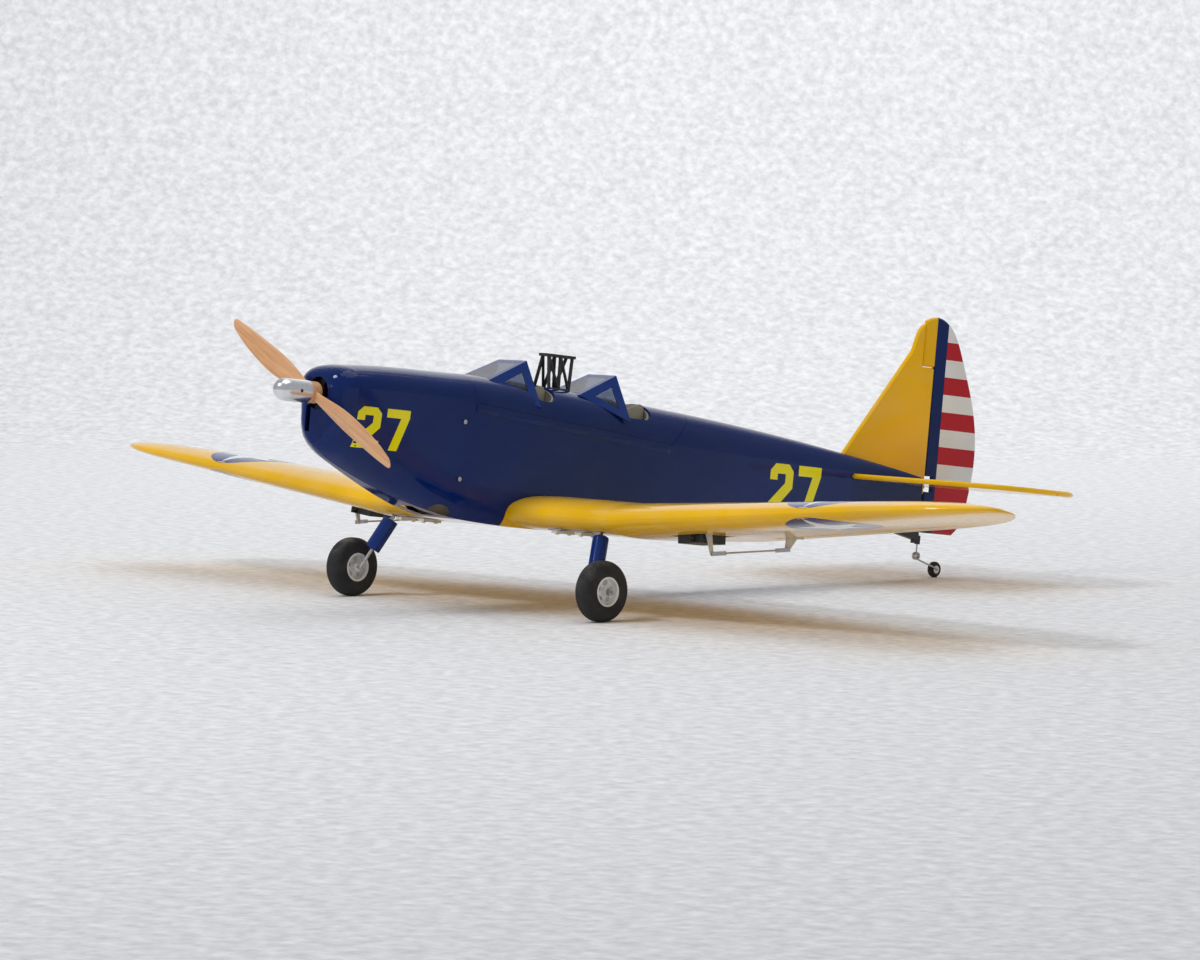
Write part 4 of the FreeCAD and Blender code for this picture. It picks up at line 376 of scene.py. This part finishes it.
def plastic(name, tint, low=0.35, high=0.6, dust=0.12, pits=1400.0, strength=0.15, **shader):
    values = {"Tint": tint, "Dust": dust, "Pit scale": pits, "Low": low, "High": high}
    return material(name, "speckle", values, bump=(strength, 0.0002), **shader)


def metal(name, tint, low=0.12, high=0.35, along=(1.0, 0.0, 0.0), tarnish=0.2, strength=0.12):
    values = {"Tint": tint, "Low": low, "High": high, "Along": along, "Tarnish": tarnish}
    return material(name, "metal", values, bump=(strength, 0.00008), Metallic=1.0)


def wood(name, light, dark, along, layers, coat=0.0):
    values = {"Light": light, "Dark": dark, "Along": along, "Layer scale": layers}
    return material(name, "grain", values, bump=(0.25, 0.00015), Coat_Weight=coat, Coat_Roughness=0.18)


def clear_pane():
    """Thin smoke-blue clear sheet with scuffs."""
    made = bpy.data.materials.new("clear_sheet")
    made.use_nodes = True
    tree = Tree(made.node_tree)
    made.node_tree.nodes.clear()
    place = tree.place()
    scuff = tree.noise(240.0, 6.0, 0.7, place)
    surface = tree.add("ShaderNodeBsdfPrincipled", IOR=1.45, Transmission_Weight=1.0)
    scuffed = tree.spread(scuff, 0.4, 0.7)
    tree.put(surface, "Base Color", tree.mix(scuffed, PANE_TINT, PANE_SCUFF_TINT))
    tree.put(surface, "Roughness", tree.spread(scuff, 0.45, 0.8, 0.04, 0.3))
    output = tree.add("ShaderNodeOutputMaterial")
    tree.put(output, "Surface", surface.outputs[0])
    return made


def rudder_film():
    """Film of the rudder: a navy band along the hinge, red and white stripes, a yellow balance horn."""
    paint = settings().plane_finish
    marks = settings().plane_marking
    made = film("rudder_stripes", paint.white, 0.06, 0.15)
    tree = Tree(made.node_tree)
    surface = next(n for n in made.node_tree.nodes if n.type == "BSDF_PRINCIPLED")
    ground = surface.inputs["Base Color"].links[0].from_socket
    place = tree.place()
    hinge = Vector(JOINTS["rudder_swing"]["pos_m"])

    def along(direction):
        dot = tree.add("ShaderNodeVectorMath", {"operation": "DOT_PRODUCT"})
        tree.put(dot, "#0", place)
        dot.inputs[1].default_value = direction
        return tree.math("SUBTRACT", dot.outputs["Value"], hinge.dot(direction))

    aft = along(AFT)
    thrust = (NOSE - hinge).dot(UP)
    down = tree.math("SUBTRACT", STRIPE_START + thrust, along(UP))
    phase = tree.math("FRACT", tree.math("DIVIDE", down, marks.stripe * 2))
    red_here = tree.math("LESS_THAN", phase, 0.5)
    inside = tree.math("GREATER_THAN", down, 0.0)
    red_mask = tree.math("MULTIPLY", red_here, inside)
    low = tree.math("GREATER_THAN", down, marks.stripe * LAST_STRIPES)
    red_mask = tree.math("MAXIMUM", red_mask, low)
    navy_mask = tree.math("LESS_THAN", aft, HINGE_BAND)
    horn_mask = tree.math("LESS_THAN", aft, -HINGE_SLACK)
    mixed = tree.mix(red_mask, ground, tuple_of(paint.red))
    mixed = tree.mix(navy_mask, mixed, tuple_of(paint.navy))
    mixed = tree.mix(horn_mask, mixed, tuple_of(paint.yellow))
    tree.put(surface, "Base Color", mixed)
    return made


# ---------------- mesh helpers ----------------

def piece(name, mesh, made, body, smooth):
    """Object from a mesh, smooth-shaded up to an angle, riding on a body."""
    obj = bpy.data.objects.new(name, mesh)
    bpy.context.scene.collection.objects.link(obj)
    mesh.materials.append(made)
    mesh.shade_smooth()
    mesh.set_sharp_from_angle(angle=math.radians(smooth))
    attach(obj, body)
    return obj


def mesh_from(bm, name):
    mesh = bpy.data.meshes.new(name)
    bm.normal_update()
    bm.to_mesh(mesh)
    bm.free()
    return mesh


def surface_tree(nodes):
    """Ray-casting tree over one or more CAD nodes."""
    bm = bmesh.new()
    for node in nodes:
        bm.from_mesh(frame["nodes"][node].data)
    tree = BVHTree.FromBMesh(bm)
    bm.free()
    return tree


def sliced_outline(outline, step):
    """Flat face with the given outline, cut into strips so that it can follow a curved skin."""
    bm = bmesh.new()
    ring = [bm.verts.new(Vector((a, b, 0.0))) for a, b in outline]
    bm.faces.new(ring)
    low = [min(p[i] for p in outline) for i in (0, 1)]
    high = [max(p[i] for p in outline) for i in (0, 1)]
    for axis in (0, 1):
        cuts = int((high[axis] - low[axis]) / step) + 1
        for i in range(1, cuts):
            point = Vector((0, 0, 0))
            point[axis] = low[axis] + (high[axis] - low[axis]) * i / cuts
            normal = Vector((0, 0, 0))
            normal[axis] = 1.0
            geometry = bm.verts[:] + bm.edges[:] + bm.faces[:]
            bmesh.ops.bisect_plane(bm, geom=geometry, plane_co=point, plane_no=normal)
    return bm


def sticker(name, outlines, step, place, cast_from, direction, tree, lift, made, body):
    """Thin film marking: outlines laid on the skin by casting each point onto it."""
    whole = bmesh.new()
    for outline in outlines:
        bm = sliced_outline(outline, step)
        for vert in bm.verts:
            start = place(vert.co.x, vert.co.y) + cast_from
            hit = tree.ray_cast(start, direction)
            if hit[0] is None:
                raise RuntimeError(name + " misses the skin")
            vert.co = hit[0] - direction * lift
        temp = mesh_from(bm, "temp")
        whole.from_mesh(temp)
        bpy.data.meshes.remove(temp)
    for face in whole.faces:
        face.normal_update()
        if face.normal.dot(direction) > 0:
            face.normal_flip()
    return piece(name, mesh_from(whole, name), made, body, STICKER_SMOOTH)


TWO = [(0, 0), (0.72, 0), (0.72, 0.20), (0.36, 0.20), (0.72, 0.52), (0.72, 0.86), (0.57, 1.0), (0.15, 1.0),
       (0.0, 0.86), (0.0, 0.67), (0.23, 0.67), (0.23, 0.80), (0.48, 0.80), (0.48, 0.62), (0.0, 0.21)]
SEVEN = [(0, 1.0), (0.72, 1.0), (0.72, 0.81), (0.42, 0), (0.16, 0), (0.45, 0.79), (0, 0.79)]
NUMERAL_WIDTH = 0.72
NUMERAL_PITCH = 0.88


def number_outlines(height):
    """The two block numerals, side by side and centred, in metres."""
    outlines = []
    width = NUMERAL_PITCH + NUMERAL_WIDTH
    for index, digit in enumerate((TWO, SEVEN)):
        shift = index * NUMERAL_PITCH - width / 2
        outlines.append([((x + shift) * height, (y - 0.5) * height) for x, y in digit])
    return outlines


def star_outline(radius):
    """Plain five-pointed star."""
    points = []
    for i in range(10):
        reach = radius if i % 2 == 0 else radius * STAR_WAIST
        turn = math.pi / 2 + i * math.pi / 5
        points.append((math.cos(turn) * reach, math.sin(turn) * reach))
    return points


def ring_outline(radius, count=72):
    return [(math.cos(2 * math.pi * i / count) * radius, math.sin(2 * math.pi * i / count) * radius)
            for i in range(count)]


def thicken(obj, depth):
    """Give a laid-on sheet its thickness, outwards, with softened edges."""
    solid = obj.modifiers.new("thickness", "SOLIDIFY")
    solid.thickness = depth
    solid.offset = 1.0
    edge = obj.modifiers.new("edge", "BEVEL")
    edge.width = depth * 0.4
    edge.segments = 2
    edge.limit_method = "ANGLE"


def assign(names, made):
    for name in names:
        mesh = frame["nodes"][name].data
        mesh.materials.clear()
        mesh.materials.append(made)


def handed(*names):
    return [name + side for name in names for side in ("_port", "_starboard")]


# ---------------- operators ----------------

class PLANE_OT_fuselage(bpy.types.Operator):
    """Cover fuselage, cowl and hatch in navy film"""
    bl_idname = "plane.fuselage"
    bl_label = "Fuselage film"

    def execute(self, context):
        paint = settings().plane_finish
        assign(["fuselage_shell", "cowl", "hatch_deck"], film("navy_film", paint.navy, 0.04, 0.12))
        return {"FINISHED"}


class PLANE_OT_wings(bpy.types.Operator):
    """Cover wings and fixed tail in yellow film"""
    bl_idname = "plane.wings"
    bl_label = "Wing and tail film"

    def execute(self, context):
        yellow = film("yellow_film", settings().plane_finish.yellow, 0.06, 0.18, 7.0, 0.3)
        assign(["wing_centre", "tailplane", "fin", "elevators"] + handed("wing_panel", "aileron"), yellow)
        return {"FINISHED"}


class PLANE_OT_rudder(bpy.types.Operator):
    """Stripe the rudder"""
    bl_idname = "plane.rudder"
    bl_label = "Rudder stripes"

    def execute(self, context):
        assign(["rudder"], rudder_film())
        return {"FINISHED"}


class PLANE_OT_seam_strips(bpy.types.Operator):
    """Lay the narrow raised strip under the hatch seam on each side"""
    bl_idname = "plane.seam_strips"
    bl_label = "Seam strips"

    def execute(self, context):
        navy = film("strip_film", settings().plane_finish.navy, 0.05, 0.14, 14.0, 0.4)
        shell = surface_tree(["fuselage_shell"])
        for side, name in ((1, "port"), (-1, "starboard")):
            out = PORT * side

            def place(a, b):
                return NOSE + AFT * a + UP * b

            strip = sticker(f"seam_strip_{name}", [STRIP], 0.006, place, out * CAST_FROM_SIDE, -out,
                            shell, 0.0, navy, "airframe")
            thicken(strip, STRIP_DEPTH)
        return {"FINISHED"}


class PLANE_OT_markings(bpy.types.Operator):
    """Lay the numbers, discs and stars on the skin"""
    bl_idname = "plane.markings"
    bl_label = "Markings"

    def execute(self, context):
        paint = settings().plane_finish
        marks = settings().plane_marking
        yellow = film("number_film", paint.number_yellow, 0.1, 0.22)
        blue = film("disc_film", paint.disc, 0.08, 0.2)
        white = film("star_film", paint.white, 0.1, 0.22)
        sides = {1: "port", -1: "starboard"}
        cowl = surface_tree(["cowl"])
        shell = surface_tree(["fuselage_shell"])
        for side, name in sides.items():
            out = PORT * side
            for spot, height, tree, where in ((COWL_NUMBER, marks.cowl_height, cowl, "cowl"),
                                              (TAIL_NUMBER, marks.tail_height, shell, "tail")):
                base = at(0, *spot)

                def place(a, b, base=base, side=side):
                    return base + AFT * a * side + UP * b

                sticker(f"number_{where}_{name}", number_outlines(height), MARKING_STEP, place,
                        out * CAST_FROM_SIDE, -out, tree, marks.film, yellow, "airframe")
            wing = surface_tree([f"wing_panel_{name}"])
            for face, toward in (("top", 1), ("under", -1)):
                base = at(DISC_PLACE[0] * side, DISC_PLACE[1], 0)

                def lay(a, b, base=base, side=side):
                    return base + PORT * a * side + AFT * -b

                above = UP * CAST_FROM_ABOVE * toward
                disc = [ring_outline(marks.disc_radius)]
                star = [star_outline(marks.disc_radius * STAR_SHARE)]
                sticker(f"disc_{face}_{name}", disc, MARKING_STEP, lay, above, -UP * toward,
                        wing, marks.film, blue, "airframe")
                sticker(f"star_{face}_{name}", star, MARKING_STEP, lay, above, -UP * toward,
                        wing, marks.film * 2, white, "airframe")
        return {"FINISHED"}


class PLANE_OT_power(bpy.types.Operator):
    """Finish propeller, nut, motor and battery"""
    bl_idname = "plane.power"
    bl_label = "Power train"

    def execute(self, context):
        paint = settings().plane_finish
        blade = PORT * math.cos(BLADE_TURN) + UP * math.sin(BLADE_TURN)
        light_tint = tuple_of(paint.prop_light)
        dark_tint = tuple_of(paint.prop_dark)
        assign(["propeller"], wood("beech_prop", light_tint, dark_tint, blade, 260.0, 0.3))
        polished = metal("polished_aluminium", (0.78, 0.78, 0.80), 0.12, 0.28, PORT, 0.1)
        assign(["prop_nut", "motor_mount", "joiner_tubes"], polished)
        assign(["motor_bell"], metal("bell_black", (0.05, 0.05, 0.055), 0.25, 0.4, PORT, 0.2))
        assign(["motor_stator"], metal("windings", (0.72, 0.33, 0.14), 0.2, 0.45, AFT, 0.3))
        assign(["battery_pack"], film("battery_wrap", (0.02, 0.08, 0.30), 0.2, 0.35))
        assign(["battery_straps"], plastic("hook_tape", (0.03, 0.03, 0.032), 0.8, 0.98, 0.2, 500.0, 0.9))
        return {"FINISHED"}


class PLANE_OT_gear(bpy.types.Operator):
    """Finish wheels, legs and tail wheel"""
    bl_idname = "plane.gear"
    bl_label = "Undercarriage"

    def execute(self, context):
        paint = settings().plane_finish
        steel = shared_steel()
        assign(["leg_fairings"], film("fairing_film", paint.frame_blue, 0.1, 0.22))
        assign(["gear_wires", "wheel_collars", "tail_wire", "cowl_screws", "prop_shaft", "hinges"], steel)
        foam = plastic("foam_rubber", (0.018, 0.018, 0.019), 0.75, 0.95, 0.25, 900.0, 0.7)
        assign(["tail_tyre"] + handed("tyre"), foam)
        white = plastic("white_hub", (0.80, 0.80, 0.78), 0.3, 0.48, 0.08)
        assign(["tail_wheel_hub"] + handed("wheel_hub"), white)
        return {"FINISHED"}


class PLANE_OT_linkages(bpy.types.Operator):
    """Finish servos, arms, pushrods, clevises and horns"""
    bl_idname = "plane.linkages"
    bl_label = "Servos and linkages"

    def execute(self, context):
        tint = tuple_of(settings().plane_finish.ivory)
        ivory = plastic("ivory_nylon", tint, 0.38, 0.55, 0.05, Subsurface_Weight=0.08)
        black = plastic("black_plastic", (0.022, 0.022, 0.025), 0.32, 0.5, 0.15)
        assign(["elevator_servo_arm", "rudder_servo_arm", "elevator_horn", "rudder_horn", "gear_straps",
                "wing_fasteners"] + handed("aileron_horn", "aileron_servo_arm"), ivory)
        assign(["fuselage_servos", "aileron_servos", "electronic_boxes", "tail_bracket"], black)
        wires = ["elevator_joiner", "elevator_pushrod", "rudder_pushrod"] + handed("aileron_rod")
        assign(wires, shared_steel())
        return {"FINISHED"}


def shared_steel():
    found = bpy.data.materials.get("drawn_steel")
    return found or metal("drawn_steel", (0.56, 0.56, 0.58), 0.18, 0.4, AFT)


class PLANE_OT_cockpits(bpy.types.Operator):
    """Finish cockpits, windscreens, pylon and the ply inside"""
    bl_idname = "plane.cockpits"
    bl_label = "Cockpits"

    def execute(self, context):
        paint = settings().plane_finish
        assign(["windscreen_frames"], film("frame_paint", paint.frame_blue, 0.12, 0.25))
        assign(["windscreen_panes"], clear_pane())
        assign(["cockpit_tubs"], plastic("tub_grey", (0.40, 0.38, 0.31), 0.45, 0.65, 0.2))
        assign(["cockpit_fittings"], plastic("seat_beige", (0.36, 0.33, 0.25), 0.45, 0.65, 0.25))
        assign(["crash_pylon"], plastic("truss_black", (0.012, 0.012, 0.014), 0.28, 0.45, 0.1))
        ply = wood("birch_ply", (0.66, 0.48, 0.28), (0.42, 0.27, 0.13), AFT, 90.0)
        assign(["ply_formers", "motor_box", "radio_trays"], ply)
        return {"FINISHED"}


class PLANE_OT_stage(bpy.types.Operator):
    """Floor, backdrop, studio lights and camera"""
    bl_idname = "plane.stage"
    bl_label = "Stage"

    def execute(self, context):
        stage = settings().plane_stage
        floor = bpy.data.objects.new("floor", floor_mesh(stage))
        bpy.context.scene.collection.objects.link(floor)
        pale = plastic("pale_floor", tuple_of(stage.floor), 0.85, 0.98, 0.0, 1400.0, 0.0)
        floor.data.materials.append(pale)
        light("key", (-0.6, -3.3, 3.3), (0.0, 0.0, 0.1), 1.2, 62.0)
        light("sky", (0.4, 0.3, 4.0), (0.0, 0.1, 0.0), 4.0, 42.0)
        light("backdrop", (-1.4, 2.0, 3.8), (-3.8, 3.8, 1.4), 3.0, 60.0)
        world = bpy.data.worlds.new("studio")
        world.use_nodes = True
        world.node_tree.nodes["Background"].inputs[0].default_value = (0.93, 0.96, 1.0, 1.0)
        world.node_tree.nodes["Background"].inputs[1].default_value = 0.45
        bpy.context.scene.world = world
        make_camera(stage)
        bpy.context.scene.view_settings.view_transform = "Standard"
        return {"FINISHED"}


def floor_mesh(stage):
    """Floor that turns up into a backdrop behind the model, square to the view."""
    away = Vector((-math.sin(stage.heading), math.cos(stage.heading), 0.0))
    side = Vector((math.cos(stage.heading), math.sin(stage.heading), 0.0))
    profile = [(-9.0, 0.0), (3.0, 0.0)]
    for i in range(1, 13):
        turn = math.radians(90 * i / 12)
        profile.append((3.0 + 1.6 * math.sin(turn), 1.6 * (1 - math.cos(turn))))
    profile.append((4.6, 6.0))
    bm = bmesh.new()
    rows = [[bm.verts.new(away * a + side * s + Vector((0, 0, z))) for s in (-9.0, 9.0)] for a, z in profile]
    for low, high in zip(rows, rows[1:]):
        bm.faces.new((low[0], low[1], high[1], high[0]))
    mesh = mesh_from(bm, "floor")
    mesh.shade_smooth()
    return mesh


def light(name, place, target, size, power):
    lamp = bpy.data.lights.new(name, "AREA")
    lamp.shape = "RECTANGLE"
    lamp.size = size
    lamp.size_y = size * 0.7
    lamp.energy = power
    obj = bpy.data.objects.new(name, lamp)
    bpy.context.scene.collection.objects.link(obj)
    obj.location = place
    obj.rotation_euler = (Vector(target) - Vector(place)).to_track_quat("-Z", "Y").to_euler()


def make_camera(stage):
    """Camera from its heading, dip and lean."""
    level = Vector((-math.sin(stage.heading), math.cos(stage.heading), 0.0))
    side = Vector((math.cos(stage.heading), math.sin(stage.heading), 0.0))
    sky = Vector((0.0, 0.0, 1.0))
    ahead = level * math.cos(stage.dip) - sky * math.sin(stage.dip)
    over = sky * math.cos(stage.dip) + level * math.sin(stage.dip)
    right = side * math.cos(stage.lean) + over * math.sin(stage.lean)
    top = over * math.cos(stage.lean) - side * math.sin(stage.lean)
    data = bpy.data.cameras.new("camera")
    data.lens = stage.lens
    data.sensor_width = 36.0
    data.clip_end = 60.0
    camera = bpy.data.objects.new("camera", data)
    bpy.context.scene.collection.objects.link(camera)
    turn = Matrix((right, top, -ahead)).transposed().to_4x4()
    camera.matrix_world = Matrix.Translation(Vector(stage.camera_place)) @ turn
    bpy.context.scene.camera = camera


class PLANE_PT_panel(bpy.types.Panel):
    """Settings and build steps of the model plane"""
    bl_idname = "PLANE_PT_panel"
    bl_label = "Model plane"
    bl_space_type = "VIEW_3D"
    bl_region_type = "UI"
    bl_category = "Model plane"

    def draw(self, context):
        for group in (settings().plane_finish, settings().plane_marking, settings().plane_stage):
            for key in group.__annotations__:
                self.layout.prop(group, key)
        for step in STEPS:
            self.layout.operator(step.bl_idname)


STEPS = (PLANE_OT_fuselage, PLANE_OT_wings, PLANE_OT_rudder, PLANE_OT_seam_strips, PLANE_OT_markings,
         PLANE_OT_power, PLANE_OT_gear, PLANE_OT_linkages, PLANE_OT_cockpits, PLANE_OT_stage)
GROUP_TYPES = {"plane_finish": FinishSettings, "plane_marking": MarkingSettings, "plane_stage": StageSettings}


def register():
    for name, kind in GROUP_TYPES.items():
        bpy.utils.register_class(kind)
        setattr(bpy.types.Scene, name, bpy.props.PointerProperty(type=kind))
    for kind in (*STEPS, PLANE_PT_panel):
        bpy.utils.register_class(kind)


def unregister():
    for kind in (*STEPS, PLANE_PT_panel):
        bpy.utils.unregister_class(kind)
    for name, kind in GROUP_TYPES.items():
        delattr(bpy.types.Scene, name)
        bpy.utils.unregister_class(kind)


def main():
    register()
    bpy.ops.plane.fuselage()
    bpy.ops.plane.wings()
    bpy.ops.plane.rudder()
    bpy.ops.plane.seam_strips()
    bpy.ops.plane.markings()
    bpy.ops.plane.power()
    bpy.ops.plane.gear()
    bpy.ops.plane.linkages()
    bpy.ops.plane.cockpits()
    bpy.ops.plane.stage()


if __name__ == "__main__":
    main()
